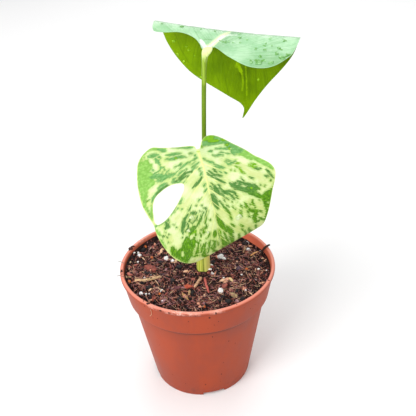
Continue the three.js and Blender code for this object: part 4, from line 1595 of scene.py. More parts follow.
@dataclass
class Blade:
    """A leaf blade: a flat outline, bent over one ridge, with veins, a midrib and a thin margin.

    Each row of the ridge is a distance along the blade and the slope there in degrees.
    """

    name: str
    node: str
    knee: Place
    across: Place
    along: Place
    dish: float
    ridge: list[Flat]
    outline: list[Flat]
    hole: list[Flat]
    midrib: list[Flat]
    rib_width: float
    rib_taper: float
    left_fan: VeinFan
    right_fan: VeinFan
    vein_gap: float = 8.5
    relief: float = 0.2
    thickness: float = 0.42
    cell: float = 0.55
    bend_step: float = 0.25

    def slope(self, along: np.ndarray) -> np.ndarray:
        """Gives the ridge's slope in radians at distances along the blade."""
        return np.radians(np.interp(along, *np.array(self.ridge, float).T))

    def bent(self, flat: np.ndarray, off: np.ndarray) -> np.ndarray:
        """Bends flat points into place.

        Args:
            flat: Across and along in millimetres, one row each.
            off: How far above the blade's middle surface each point is.

        Returns:
            The places in millimetres.
        """
        step = self.bend_step
        grid = np.arange(self.ridge[0][0], self.ridge[-1][0] + step, step)
        middle = self.slope(grid[:-1] + step / 2)
        a, b = flat.T
        run, rise = (np.concatenate([[0.0], np.cumsum(part * step)])
                     for part in (np.cos(middle), np.sin(middle)))
        run_b = np.interp(b, grid, run) - np.interp(0, grid, run)
        rise_b = np.interp(b, grid, rise) - np.interp(0, grid, rise)
        slope = self.slope(b)
        off = off - self.dish * (a * a + 0.4 * b * b)
        across, along = np.array(self.across), np.array(self.along)
        lift = np.cross(across, along)
        lift = lift / np.linalg.norm(lift)
        return (np.array(self.knee) + a[:, None] * across
                + (run_b - off * np.sin(slope))[:, None] * along
                + (rise_b + off * np.cos(slope))[:, None] * lift)

    def loops(self) -> list[np.ndarray]:
        """Gives the outline, and the hole if there is one, as fine closed loops."""
        holes = [smooth_line(self.hole, 6, closed=True)] if self.hole else []
        return [smooth_line(self.outline, 9, closed=True), *holes]

    def within(self, points: np.ndarray) -> np.ndarray:
        """Says which flat points are on the blade and not in its hole.

        Args:
            points: The points, one row each.

        Returns:
            True for each point on the blade.
        """
        outline, *holes = self.loops()
        on = inside(points, outline)
        for hole in holes:
            on &= ~inside(points, hole)
        return on

    def from_edge(self, flat: np.ndarray) -> np.ndarray:
        """Gives each flat point's distance to the nearest edge."""
        return np.min([distance_to_line(flat, ring_closed(loop))[0] for loop in self.loops()], axis=0)

    def flat_mesh(self) -> tuple[np.ndarray, np.ndarray]:
        """Fills the outline with even triangles.

        Returns:
            The flat points, and the triangles as rows of point numbers.
        """
        loops = self.loops()
        low, high = loops[0].min(0), loops[0].max(0)
        rows = []
        for i, b in enumerate(np.arange(low[1], high[1], self.cell * 0.866)):
            a = np.arange(low[0] + (i % 2) * self.cell / 2, high[0], self.cell)
            rows.append(np.column_stack([a, np.full(len(a), b)]))
        fill = np.vstack(rows)
        fill = fill[self.within(fill)]
        fill = fill[self.from_edge(fill) > self.cell * 0.45]
        edges = []
        start = 0
        for loop in loops:
            edges += [(start + i, start + (i + 1) % len(loop)) for i in range(len(loop))]
            start += len(loop)
        points = [Vector(point) for point in np.vstack([*loops, fill]).tolist()]
        made = delaunay_2d_cdt(points, edges, [], 0, 1e-7)
        flat = np.array([tuple(point) for point in made[0]])
        triangles = np.array(made[2])
        triangles = triangles[self.within(flat[triangles].mean(1))]
        first, second, third = flat[triangles].transpose(1, 0, 2)
        turned = np.cross(second - first, third - first) < 0
        triangles[turned] = triangles[turned][:, ::-1]
        return flat, triangles

    def rib(self, flat: np.ndarray) -> np.ndarray:
        """Gives 1 on the midrib's middle, 0 at its edge, and less than 0 off it."""
        away, share = distance_to_line(flat, smooth_line(self.midrib, 6))
        return 1 - away / ((0.5 + self.rib_width * (1 - share) ** self.rib_taper) / 2)

    def veins(self, flat: np.ndarray) -> np.ndarray:
        """Finds the veins of both halves.

        Args:
            flat: Flat points, one row each.

        Returns:
            Each point's vein, distance along it, and a number that tells the halves apart.
        """
        line = smooth_line(self.midrib, 6)
        side = np.where(flat[:, 0] > np.interp(flat[:, 1], line[:, 1], line[:, 0]), 1.0, -1.0)
        found = np.zeros((len(flat), 3))
        for half, fan in ((1.0, self.left_fan), (-1.0, self.right_fan)):
            on = side == half
            found[on, :2] = fan.read(flat[on], line, half)
            found[on, 2] = 40 * half
        return found

    def build(self, upper: Material, under: Material) -> tuple[Object, np.ndarray]:
        """Models the blade as one closed shell, its margin finished like its upper side.

        Args:
            upper: The upper side's material.
            under: The underside's material.

        Returns:
            The object, and the flat place of each of its points.
        """
        flat, triangles = self.flat_mesh()
        veins, rib, edge = self.veins(flat), self.rib(flat), self.from_edge(flat)
        calm = np.clip(edge / 6, 0, 1) * np.clip(veins[:, 1] / 5, 0, 1)
        wave = np.cos(veins[:, 0] / self.vein_gap * math.tau)
        bulge = -self.relief * calm * (np.clip(wave, 0.55, 1) - 0.55) / 0.45
        thin = self.thickness * (0.45 + 0.55 * np.clip(edge / 1.5, 0, 1))
        ridge = np.clip(rib, 0, 1) ** 0.7
        top = self.bent(flat, thin / 2 + bulge + 0.12 * ridge)
        bottom = self.bent(flat, -thin / 2 + bulge - 0.75 * ridge)
        pairs = np.vstack([triangles[:, [0, 1]], triangles[:, [1, 2]], triangles[:, [2, 0]]])
        _, first, count = np.unique(np.sort(pairs, axis=1), axis=0, return_index=True, return_counts=True)
        start, end = pairs[first[count == 1]].T
        total = len(flat)
        quads = np.stack([end, start, start + total, end + total], -1)
        faces = triangles.tolist() + (triangles[:, ::-1] + total).tolist() + quads.tolist()
        piece = from_arrays(self.name, np.vstack([top, bottom]), faces)
        activate(piece)
        bpy.ops.object.shade_smooth_by_angle(angle=math.radians(55))
        store(piece, "flat", np.tile(np.column_stack([flat, np.zeros(total)]), (2, 1)))
        store(piece, "vein", np.tile(veins, (2, 1)))
        store(piece, "rib", np.tile(rib, 2))
        store(piece, "edge", np.tile(edge, 2))
        piece.data.materials.append(upper)
        piece.data.materials.append(under)
        sides = np.repeat([0, 1, 0], [len(triangles), len(triangles), len(quads)])
        piece.data.polygons.foreach_set("material_index", sides.astype(np.int32))
        return piece, np.tile(flat, (2, 1))


def off_stroke(flat: np.ndarray, stroke: Row) -> tuple[np.ndarray, np.ndarray]:
    """Measures flat points against a stroke.

    Args:
        flat: Flat points, one row each.
        stroke: Its width, and then across and along for each of its points.

    Returns:
        Each point's distance from the stroke's line, and its share along it.
    """
    return distance_to_line(flat, np.array(stroke[1:], float).reshape(-1, 2))


def inked(flat: np.ndarray, strokes: list[Row]) -> np.ndarray:
    """Measures how far inside any of some strokes each flat point is, below zero outside."""
    depths = [stroke[0] / 2 - off_stroke(flat, stroke)[0] for stroke in strokes]
    return np.max([np.full(len(flat), -9.0), *depths], axis=0)


@dataclass
class Marbling:
    """The green of the marbled leaf.

    A stroke is its width, and then across and along for each of its points. An area is across and
    along for each corner of a closed loop, and a gap is a stroke that the green leaves out.
    """

    strokes: dict[Tone, list[Row]]
    areas: dict[Tone, list[Row]]
    gaps: list[Row]
    low_from: float = 36.0
    low_to: float = 48.0

    def read(self, flat: np.ndarray) -> tuple[np.ndarray, np.ndarray]:
        """Measures the marbling at each point. Above the ridge, deep green turns to dark green.

        Args:
            flat: Flat points, one row each.

        Returns:
            How far inside the green each point is, below zero outside, and the green's tone there.
        """
        depth = np.full(len(flat), -9.0)
        tone = np.zeros(len(flat))
        for shade, rows in self.areas.items():
            for row in rows:
                corners = np.array(row, float).reshape(-1, 2)
                away, _ = distance_to_line(flat, ring_closed(corners))
                signed = np.where(inside(flat, corners), away, -away)
                tone[signed > depth] = shade.value
                depth = np.maximum(depth, signed)
        for shade, rows in self.strokes.items():
            for row in rows:
                away, share = off_stroke(flat, row)
                within = row[0] / 2 * (0.6 + 0.5 * np.sin(math.pi * share)) + 0.1 - away
                tone[within > np.minimum(depth, 0)] = shade.value
                depth = np.maximum(depth, within)
        for row in self.gaps:
            depth = np.minimum(depth, off_stroke(flat, row)[0] - row[0] / 2)
        deepest = tone == Tone.DEEP.value
        shades = [Tone.DARK.value, Tone.DEEP.value]
        tone[deepest] = np.interp(flat[deepest, 1], [self.low_from, self.low_to], shades)
        return depth, tone


MARBLING = Marbling(
    strokes={
        Tone.LIGHT: [
            (1.6, 36, -14.3, 31, -16.6, 26, -16.5, 22, -14.6, 18, -12.5), (1.2, 36, -14.3, 32.5, -14.2),
            (1.5, 48.5, 14, 48.6, 18.5), (1.5, 51, 29, 50, 35.5), (1.8, 51, 38.5, 51.5, 45),
            (1.5, 44.5, 16.2, 47, 19.5, 49, 23.5),
        ],
        Tone.MID: [
            (1.8, 33, 2.4, 27.8, 3.2, 22, 5), (2.5, 30, -13, 27, -12.2, 24, -11.2),
            (2, 22.5, -14, 18.5, -11), (2.5, 27, -10, 26.6, -8, 26.5, -5.5), (1.2, 25, -9.5, 23.5, -8.5),
            (1.3, 19.5, -8, 15, -6.2, 10.5, -4.5), (1.6, 21.5, -5.8, 17, -4, 13, -3, 9, -1),
            (1.2, 14, -11, 9, -8, 5, -5.5, 1, -3.5),
            (0.8, 28, -1.8, 26.5, -3, 25, -1.6, 25.6, 0, 27.5, 0.2), (0.8, 33, -1.5, 28.5, -1.5),
            (1.5, 32, -4), (0.7, 27, 2.5, 22.5, 1.3), (0.9, 19, 1.7, 17, 1.5), (1.3, 16, 2, 13.5, 1.8),
            (3, 35.5, -0.5, 30, 1.6, 28, 2.4), (2, 33, 4, 28, 4.5, 21, 5), (1, 20, 5, 12, 3.3, 3, 3.3),
            (0.8, 20, 7, 14, 6.2), (0.9, 12.5, 6.7), (0.7, 9, 5.2, 5, 5), (0.9, 9, 7, 3.5, 6.6),
            (0.7, 10, 8.8, 6, 7.8), (1.9, 43, 14, 40, 11.5, 36, 9.8, 33, 9.8, 28, 9.7),
            (1.8, 35, 8, 31.5, 7.6, 28, 8.2), (2, 25, 9, 20, 11.5), (1, 24, 8, 21.5, 8), (0.9, 44, 11.8),
            (0.7, 19, 13, 16.5, 13), (1.2, 27, 23, 24.5, 22), (0.8, 29, 23.8, 26.5, 23.5),
            (1.2, 38, 27.5, 34.5, 26.4, 31, 24.8), (1.3, 50.5, 28.8, 45, 29.4, 39.5, 28.8),
            (0.9, 30.5, 26), (0.8, 28.5, 27.7), (0.9, 8.5, 21.7, 6.5, 20.8), (1, 10, 25.3, 7.5, 24.5),
            (0.8, 16.5, 28.7, 15, 28), (0.7, 14, 29, 13, 28), (1.2, 7, 9, 4, 10.5), (0.9, 5.5, 12),
            (1.2, 6.5, 14.5, 5, 13), (0.8, 6, -1.5, 4, -0.7), (0.9, 3.2, 1.3), (1.2, -6, 3.7, -8, 4.3),
            (1.3, -10.5, 4, -14, 6, -17, 8.3), (1.1, -7, 7, -8.5, 8.5, -10.5, 8.8, -13, 10.5),
            (0.7, -12, 7.8, -14, 9), (0.9, -15, 10, -17, 12), (1.5, -18.5, 11.5, -20, 14),
            (0.9, -0.5, 6, -2.5, 9.5, -4.5, 11, -5, 13, -7, 15), (1.5, -4.8, 14, -6.5, 17.5),
            (1.5, -6.5, 15, -9.5, 18), (1.1, -12, 14.5, -13, 17.5, -18.5, 17.7),
            (0.9, -13, 14, -15.5, 16.5), (0.8, -5.5, 18.5, -6.5, 20), (0.8, -8, 20, -8.8, 22),
        ],
        Tone.BRIGHT: [
            (1.4, 15, -3.2), (2.4, -7, -4.5, -10, -4.2, -13, -2.8), (1.8, -9, -2.2, -12, -0.9, -15, 0.6),
            (1.5, -17, 1, -18.6, 2.4), (1.5, -17.4, 5.5, -19.5, 6), (1.5, -18.5, 8.5), (1.2, -3.6, -1.4),
            (1.3, -16, 37.5), (1.3, -18.5, 38.5), (0.9, 46, 11.5), (0.8, 48.8, 19.5, 49.2, 22),
            (1.2, -17.5, 19.3, -19.3, 20.3), (1, -16.5, 21, -18, 23, -18, 26, -19.5, 28),
            (1.8, 14.3, 51.9, 14.3, 55.2), (1.3, 24, 57, 25, 58.5),
            (1.5, -24.5, 24.5, -27, 28, -30, 30.5), (1.1, -26.5, 24, -28.7, 26.5), (0.9, -12.5, 21.5),
            (0.9, -14.5, 23),
        ],
        Tone.DARK: [
            (1.5, 40, 12.6, 36.2, 10.6, 32, 9.4, 27.4, 9.6), (1.4, 24, 9.6, 18.8, 10.2, 13.4, 10.4),
            (1.8, 20, 9.3, 14, 8.5, 10.5, 9.5), (1.7, 15, 19, 10, 17.7, 6.5, 16),
            (1.3, 2, 15.5, -0.2, 20.3), (1.5, 0.3, 15, -1.8, 18.5, -3.5, 20, -5.3, 22),
            (1, -2.8, 15, -3.8, 18.5), (1.6, -1, 21, -2, 23, -4.8, 27), (1, 3, 22.5, 2.5, 24.5),
            (0.8, 4.8, 24, 4.3, 27), (3.2, 2.2, 25.5, 2.4, 28, 1.8, 31),
            (1.2, 1.6, 31, 0.5, 33, -0.3, 36), (1, -0.5, 25.5, -1.5, 27.3), (1, -0.3, 27.5, -1, 30),
            (2.4, 42.2, 29.6, 42.2, 33, 44.4, 33.6), (1, 39.5, 28.5, 40.5, 31.5), (1, 49, 37, 47.5, 38),
            (1, 46.5, 39.3), (0.9, 44.5, 38.3), (0.9, 47.3, 43), (0.9, 38.5, 34), (0.9, 37.8, 36.8),
            (0.8, 45.7, 35.7), (0.9, 37.8, 44.5), (2.2, 27, 33, 30, 34.5, 33, 38, 35.5, 40, 36, 42),
            (2.2, 24.5, 33, 21.5, 35), (0.9, 28.5, 37, 27.5, 39.5, 23.5, 38.8, 22, 36.5),
            (0.8, 25, 35, 28, 37), (0.9, 25.5, 31, 22, 29), (1.2, 31, 41, 34, 42), (1, 30, 38, 31, 41),
        ],
        Tone.DEEP: [
            (1.4, 28, 56, 29.5, 61, 31.6, 67), (1.4, 22.8, 56, 25.8, 60.5, 28.6, 65.6),
            (1.5, 20, 58.8, 23, 63, 25.4, 67), (2.1, 15.2, 55, 15.8, 61.2, 17.2, 69),
            (2.1, 7.8, 53.8, 8.5, 59.5, 10, 69), (1.7, 22.8, 46.5, 20, 46.2),
            (1.3, 22.6, 46.6, 24.2, 49.2), (2.6, 27, 42, 32, 44.5),
            (1.4, 17, 36.5, 20, 39, 24, 42, 27, 43.5), (1.5, 14, 36.8, 17, 39.5, 19, 42.5, 20, 44),
            (1.2, 15.5, 34.5, 14, 35.5), (0.9, 15.7, 32.3), (0.8, 19, 34.7), (0.8, 19, 30.5),
            (0.9, 16, 43.3), (1.3, 19, 44.7, 20.5, 46.5), (1.4, 24.3, 46.5), (1.3, 21.5, 46.7),
            (1, 22.5, 49, 24, 48.5), (1, 25.5, 47.5, 27, 50.5), (1.5, 29, 47.5), (1.6, 31, 49),
            (1.5, 38.5, 61.5, 34.5, 63), (1.3, 30, 61, 33, 65), (1, 28.5, 52.7),
            (0.8, 20, 51.3, 22.5, 53, 24.5, 53.7), (2.5, 17, 52, 19, 55.5), (1.3, 26, 56, 29, 59),
            (1.1, 21.5, 57, 20.5, 59.5, 24, 61.5), (1.1, 27, 60.5, 27.5, 62.5), (1.3, 22, 61.5, 23.5, 66),
            (1.2, 19, 60, 20, 64), (2.2, 15.5, 56, 15, 66, 16, 71, 17, 80, 18, 90),
            (1.6, 12, 55.5, 12.5, 60, 13, 65, 13.5, 76), (3, 10.8, 43, 11.1, 47, 11, 50, 10.3, 56),
            (2.5, 8.5, 53, 9, 60, 10, 67, 11, 72, 11.5, 80), (2, 7.5, 55, 7, 60),
            (3.2, 6.8, 29.5, 7.1, 34, 7.3, 37, 7.5, 39), (0.8, 5.3, 30, 4.8, 34),
            (2.4, 33, 64, 31, 70, 29, 78), (2, 25, 62, 24, 70, 23, 80, 23, 92),
            (1.8, 18, 66, 19, 76, 20.5, 88), (1.5, 0, 28, -1.5, 32, -3.5, 34.5, -4.5, 36.5, -5.2, 39.5),
            (1.6, -2.5, 31.5, -5, 33.5, -7, 35, -7.5, 38, -7, 40), (0.8, 0.8, 34, 1, 37.5),
            (1, -0.5, 35.7, -1.5, 38.3), (1, -3.8, 36, -5, 39.5),
            (1.4, 4.5, 35.5, 3.8, 38, 3, 42, 2.5, 46, 3.3, 50.5), (0.8, 1.5, 39.5, 1, 42.5),
            (0.8, -2.7, 40.3), (0.8, -1.7, 42.5, -1.7, 44), (0.8, -2.2, 45.7), (1.1, 5, 53, 4, 56),
            (1.1, 0, 57, -1, 60), (1, 0.7, 60.5, 0.5, 63), (0.9, -3.5, 49, -3.8, 52), (0.8, -5.5, 42.3),
            (0.9, -4.5, 47.5, -4.7, 50), (0.9, -6.5, 44.5, -6.7, 47.5), (1, -8, 47.5, -9.5, 49.5),
            (1, -9.7, 45, -10.3, 50), (0.9, -7.5, 54, -8.3, 55.5), (0.9, -8.5, 50.5, -8.7, 53),
            (0.8, -12.3, 47, -12.7, 48.3), (1.1, -15, 46, -14, 48, -14.5, 51.5),
            (0.9, -19, 48, -19.3, 49.3), (3, -10.5, 50.5, -13.3, 54.5, -10.5, 58, -10, 62),
            (2, -9, 61, -12.5, 62.5), (1.8, -13, 59.5, -15.5, 64.5), (0.9, -15.7, 55, -16.8, 57.5),
            (2.3, -7.5, 28.5, -9, 33.5), (2.5, -9.5, 30, -14, 33),
            (3.2, -8, 30, -12, 35, -16, 40, -19, 44, -21, 47, -24, 49),
            (2.2, -12.5, 30, -15.5, 33.5, -18, 36, -21, 38, -22.5, 41.5), (1, -15.7, 29, -16.5, 33),
            (1, -20.8, 31.5, -22.5, 34), (1.8, -27, 28.5, -30, 30.5), (1.3, -30, 36, -32, 37.5),
            (1.3, -33, 32.5, -34, 38, -34.5, 40), (0.9, -32, 40.5), (0.9, -24.5, 39.7), (0.9, -27, 41.5),
            (1.6, -0.3, 64, 0, 72, 2, 80), (2.4, -3.5, 64, -3.5, 71, -1, 78), (1.6, 4, 64, 6, 74, 9, 84),
            (1.4, -9, 64, -8, 70),
        ],
    },
    areas={
        Tone.LIGHT: [
            (46.5, 0, 47, 5, 48, 8, 49.5, 12, 49.8, 16, 48.5, 18, 47.5, 14, 46, 11, 44, 9.3, 42.5, 7.5,
             41.5, 5.5, 38, 5, 35.3, 4.5, 34.5, 2, 33, -1.5, 34, -4, 31, -6.5, 30.5, -8, 32, -10,
             30.8, -11.5, 32.5, -12.7, 34.5, -11.8, 36, -12.8, 38, -13.5, 41, -9, 43, -5, 45, -2),
            (-20.5, 13.8, -24, 17.8, -26.5, 21.6, -29.5, 24.3, -31.5, 27.6, -34.3, 31, -36.2, 35,
             -38.5, 35, -38, 31, -34.8, 25.6, -31, 20.3, -27.8, 14.3),
        ],
        Tone.MID: [
            (-6, -6, -9, -6, -13, -5, -16, -2.5, -18, 0, -20.5, 3.5, -22, 7, -24, 9, -26, 12.5,
             -27.5, 15, -23, 15.5, -20, 13, -18, 11, -19.5, 9, -17, 8.5, -17.5, 6, -17, 4, -14, 3,
             -10, 1.2, -7, 0, -5, -0.7, -4, -1.5, -4.5, -3, -6.5, -5),
        ],
        Tone.BRIGHT: [
            (27, 44.2, 33, 44.2, 33.6, 46, 28, 46.2),
        ],
        Tone.DEEP: [
            (45, 64.5, 47, 60, 48, 56, 50, 52, 49.5, 48, 48, 46.5, 46, 46.5, 45.5, 49, 45, 51, 41.5, 50,
             40, 48, 37, 46, 35, 45, 33.5, 46, 33.5, 48.5, 31, 49, 30.5, 51.5, 29.5, 55, 29.5, 59,
             32, 62, 36, 61, 38, 60, 40, 61, 42, 62.5, 44, 64.5),
            (-15, 36, -19, 36, -22.5, 38.5, -22.5, 42, -18, 42.5, -15.5, 39.5),
            (-33.5, 42.5, -31, 45.3, -24, 45.5, -21, 47, -20.5, 50, -20, 54, -19, 58, -17, 62, -15.5, 65,
             -15, 69, -19, 64, -24, 57, -31, 48, -36, 41.5),
        ],
    },
    gaps=[
        (1.5, 42.8, 53.6, 44.2, 56), (1.2, 32, 53.6, 34.4, 57, 37.6, 59.8), (1.1, 30.2, 55.2, 32.8, 60.4),
        (0.8, 33.8, 46.4, 31, 47.6), (0.9, 37, 58, 33, 55), (1.3, -11.5, 31.5), (1.2, -23.5, 53),
        (1.1, -22, 57),
    ],
)

LOWER_BLADE = Blade(
    name="marbled_blade",
    node="lower_blade",
    knee=(5.24, -26, 211.4),
    across=(-0.8877, -0.2019, -0.4139),
    along=(0.4605, -0.3891, -0.7978),
    dish=0.0002,
    ridge=[(-40, 3), (0, 0), (35, -3), (49, -8.5), (61.5, -38), (73.5, -79), (84, -98), (112, -106)],
    outline=[
        (0.3, -1.8), (0.5, -3.8), (2.5, -5.4), (11.5, -9.5), (20, -14), (25, -17), (29, -17),
        (34.5, -15.3), (38.6, -12.5), (42.2, -7.5), (45.5, -1.5), (48.7, 7), (50.3, 14.5),
        (50.4, 21.5), (50.2, 28.3), (51.3, 32.5), (51.9, 38.5), (51.7, 45), (50.7, 51.5),
        (48.3, 58.5), (44.8, 64.5), (39, 72), (33, 80), (28, 88), (25, 94), (23, 101), (20.5, 94),
        (13, 87.5), (3, 82), (-6, 76), (-12.5, 71), (-17.5, 63.5), (-23, 56), (-30, 46.8),
        (-35.6, 40.3), (-37.8, 36), (-37.3, 31), (-34.3, 25.8), (-30.5, 20.5), (-27.3, 14.5),
        (-21.8, 6.4), (-17, -0.8), (-13, -4.7), (-8.7, -6), (-4.6, -4.2), (-1.8, -1.2),
    ],
    hole=[
        (19.3, 13.8), (24, 11.2), (28.5, 10.4), (34, 10.9), (39.7, 12.5), (43, 15.3), (45.3, 18.8),
        (47.2, 23), (48.5, 26.8), (47.8, 28.8), (44, 29.2), (39.5, 28.2), (34, 25.8), (28.5, 22.8),
        (23.5, 19.4), (20.2, 16.6),
    ],
    midrib=[
        (0, 0), (1.3, 6.5), (2.9, 13.4), (4.8, 20), (7, 26.5), (8.9, 33.2), (10.5, 40.2),
        (12.8, 46.9), (14.3, 52.5), (19, 70), (22, 84), (23, 97),
    ],
    rib_width=2.0,
    rib_taper=4.0,
    left_fan=VeinFan([
        (-16, -48, 0.002), (0, 8, 0.003), (26, 28, 0.004), (40, 46, 0.004), (55, 66, 0.003), (100, 78, 0),
    ]),
    right_fan=VeinFan([
        (-24, -40, 0.003), (0, 42, 0.002), (10, 50, -0.001), (20, 60, -0.004), (30, 70, -0.005),
        (45, 76, -0.004), (100, 80, 0),
    ]),
)

UPPER_BLADE = Blade(
    name="minty_blade",
    node="upper_blade",
    knee=(15.06, 1, 270.1),
    across=(0.9381, -0.3414, -0.0585),
    along=(0.342, 0.9397, 0),
    dish=-0.0005,
    ridge=[(-60, 28), (-10, 26), (15, 21), (23, -10), (31, -50), (43, -76), (60, -82), (125, -88)],
    outline=[
        (-2, -1.6), (-5, 0.3), (-7.5, 4), (-12.2, 8.8), (-18.9, 12.1), (-25.8, 13), (-35.7, 10.5),
        (-42, 10.4), (-44.3, 13.4), (-45.4, 17), (-46.6, 21), (-47.2, 26), (-46.8, 33),
        (-45.6, 39.3), (-43.8, 45.5), (-39.3, 53.9), (-33.4, 61.3), (-26.7, 67.7), (-18.8, 72.5),
        (-6.4, 78.6), (3.2, 83.3), (11.5, 87.5), (14, 91.2), (13.2, 99.5), (23.2, 81.7),
        (31.2, 69), (39.1, 58.2), (44.4, 50.4), (48.3, 43.3), (51.8, 33.2), (54, 26), (55, 18.5),
        (54.6, 10.6), (53.6, 4.2), (51.4, 0.1), (45.9, -6.7), (40.2, -9.9), (32.9, -10.6),
        (26.7, -9.5), (13.6, -3.3), (1.8, 3.2), (0.6, -0.7),
    ],
    hole=[],
    midrib=[(-0.6, 0), (1.2, 5), (3.2, 9.4), (7.3, 19.5), (9.3, 56), (13.4, 77), (14.7, 92.5), (13, 99.5)],
    rib_width=3.9,
    rib_taper=4.5,
    left_fan=VeinFan([(-22, -45, 0.004), (0, 32, 0.007), (30, 62, 0.006), (60, 76, 0.002), (104, 84, 0)]),
    right_fan=VeinFan([(-12, 0, 0.006), (0, 34, 0.008), (30, 62, 0.006), (60, 76, 0.002), (104, 84, 0)]),
    vein_gap=9.5,
)

MINTY_STROKES = {
    "white": [
        (0.7, 0.3, 3, 1.3, 6.2, 3.2, 10.2), (1.9, 3.2, 10.2, 5.5, 14), (1, 5.5, 14, 8.2, 16.2),
        (0.4, 8.2, 16.2, 13, 17.4), (1, -8.4, 7.6, -7, 6.2), (2.2, -7, 6.2, -5, 3.8),
        (2, -5, 3.8, -3.2, 1.4), (1.2, -1.6, 0.4, -0.6, 3),
    ],
    "band": [
        (3.4, -1.8, 0.6, 0.4, 6, 2.4, 10.6, 4.2, 14.2, 6.8, 18.6), (1.8, -3.4, 0.8, -2, 4),
    ],
    "green": [
        (1.7, 32.4, -4.4, 34.8, -7, 37.2, -3.6), (2, 34, -4.4, 35.4, -6), (1.2, 29.2, -5, 30.6, -7),
        (2, 46.9, 0.6, 48.2, -0.7), (1.3, 49.6, 0.6, 51.4, 2, 53, 3.4), (1, 41.6, -6.2, 43.6, -4.2),
        (1.2, 43.4, 8.9, 46.4, 7), (0.7, 3.9, 10, 5.4, 9.4), (0.8, 6.2, 9.2, 9, 8.4),
        (0.8, 15.6, 15.2, 17, 14.8), (0.8, 34.6, 18.9, 37.2, 18.6), (0.9, 44.4, 17.5, 47.2, 16),
        (0.8, 33.5, 9.9, 35, 9.1), (1, 33.8, -0.8, 35.2, -1.6), (1.3, 43.4, 4.1, 44.2, 2.8),
    ],
    "mark": [
        (1.2, -6, 9, -1.4, 9.8), (2.6, 9.2, 55.6, 10.4, 58.6, 11.6, 61), (1.4, 11, 60, 12.4, 63.6),
        (0.9, 8.6, 54.6, 8, 58.5), (0.7, 12.4, 62.6, 13.2, 69.5, 12.8, 76.6),
        (0.5, 15, 57, 15.8, 68, 16, 80),
    ],
    "crease": [
        (0.7, -2.6, 50, -1, 64.2, 2, 80.2), (0.5, -10, 58, -8.2, 63.5, -4.5, 73),
        (0.6, 22, 52, 22.4, 60, 23.2, 79), (0.6, -36.4, 38, -33.2, 50.2, -28, 60),
        (0.4, 17.6, 58, 18.4, 68, 18.4, 84),
    ],
}


@dataclass
class MarbledLeaf:
    """The older leaf, which faces the front."""

    blade: Blade = field(default_factory=lambda: LOWER_BLADE)
    marbling: Marbling = field(default_factory=lambda: MARBLING)

    def build(self) -> Object:
        """Models the blade and stores its marbling and its minty shoulder, a painted reflection of the
        sky.

        Returns:
            The leaf.
        """
        piece, flat = self.blade.build(MarbledSide().make(), MarbledUnderside().make())
        depth, tone = self.marbling.read(flat)
        store(piece, "green", depth)
        store(piece, "tone", tone)
        # Painted reflection: where the minty sheen of the sky is painted, strongest near the knee.
        mint_sheen = np.clip((18 - flat[:, 1]) / 30, 0, 1) * np.clip((24 - flat[:, 0]) / 40, 0, 1)
        store(piece, "mint_sheen", mint_sheen * 0.8)
        return hand_over(piece, Slot.MARBLED_LEAF, None, self.blade.node)


@dataclass
class MintyLeaf:
    """The newer leaf, folded down behind its ridge, so that mostly its underside shows."""

    blade: Blade = field(default_factory=lambda: UPPER_BLADE)
    strokes: dict[str, list[Row]] = field(default_factory=lambda: MINTY_STROKES)

    def build(self) -> Object:
        """Models the blade and stores its strokes, its shaded side and its glow.

        Returns:
            The leaf.
        """
        piece, flat = self.blade.build(MintySide().make(), MintyUnderside().make())
        for name, rows in self.strokes.items():
            store(piece, name, inked(flat, rows))
        a, b = flat.T
        store(piece, "shade", np.clip((a - 20) / 26, 0, 1) * np.clip((8 - b) / 16, 0, 1) * 0.9)
        low_left = np.clip((b - 62 - 0.35 * a) / 24, 0, 1) * 0.6
        left = np.clip((-14 - a) / 24, 0, 1) * 0.55
        store(piece, "glow", np.maximum(low_left, left))
        return hand_over(piece, Slot.UPPER_LEAF, None, self.blade.node)


@dataclass
class Droplets:
    """Drops of water on one side of a blade: across, along and width in millimetres."""

    name: str
    blade: Blade
    slot: Slot
    side: int
    drops: list[Place]
    water: Water
    growth: float = 1.0

    @staticmethod
    def dome() -> tuple[np.ndarray, Faces]:
        """Models a flattened dome that is 1 across.

        Returns:
            Its points and its faces.
        """
        model = new_ball(3)
        bpy.ops.object.mode_set(mode="EDIT")
        bpy.ops.mesh.select_all(action="SELECT")
        bpy.ops.mesh.bisect(plane_co=(0, 0, -0.08), plane_no=(0, 0, 1), use_fill=True, clear_inner=True)
        bpy.ops.mesh.select_all(action="SELECT")
        bpy.ops.transform.resize(value=(1, 1, 0.55))
        bpy.ops.object.mode_set(mode="OBJECT")
        return taken_apart(model)

    def build(self) -> Object:
        """Copies the dome to each place, each copy with its own wobble.

        Returns:
            One object that holds all the drops of this side.
        """
        base, faces = self.dome()
        shapes = []
        for i, (a, b, width) in enumerate(self.drops):
            corners = np.array([[a, b], [a + 0.2, b], [a, b + 0.2]])
            spots = self.blade.bent(corners, np.full(3, self.side * self.blade.thickness / 2))
            across, along = spots[1:] - spots[0]
            up = np.cross(across, along) * self.side
            basis = np.array([axis / np.linalg.norm(axis) for axis in (across * self.side, along, up)])
            stretch = np.array([1.15 + 0.3 * math.cos(i * 1.7), 1.0 + 0.25 * math.sin(i * 2.3), 0.75])
            shift = Vector((i * 3.1, 0, 0))
            wobble = np.array([1 + 0.5 * noise.noise(Vector(v) * 2.2 + shift) for v in base])
            shape = base * (width * self.growth) * stretch * wobble[:, None]
            shapes.append(spots[0] + shape @ basis)
        return hand_over(copies(self.name, shapes, faces), self.slot, self.water.make())


# Loose bits on the mix


class Kind(Enum):
    """The kinds of loose bit: roughness, its grain, levels, and what the smoothing took off."""

    GRAIN = (0.95, 1.5, 3, 0.15)
    BEAD = (0.05, 0.8, 3, 0.05)
    CHIP = (0.16, 1.2, 2, 0.0)
    STICK = (0.2, 0.8, 2, 0.35)
    STRAW = (0.12, 0.8, 2, -0.05)


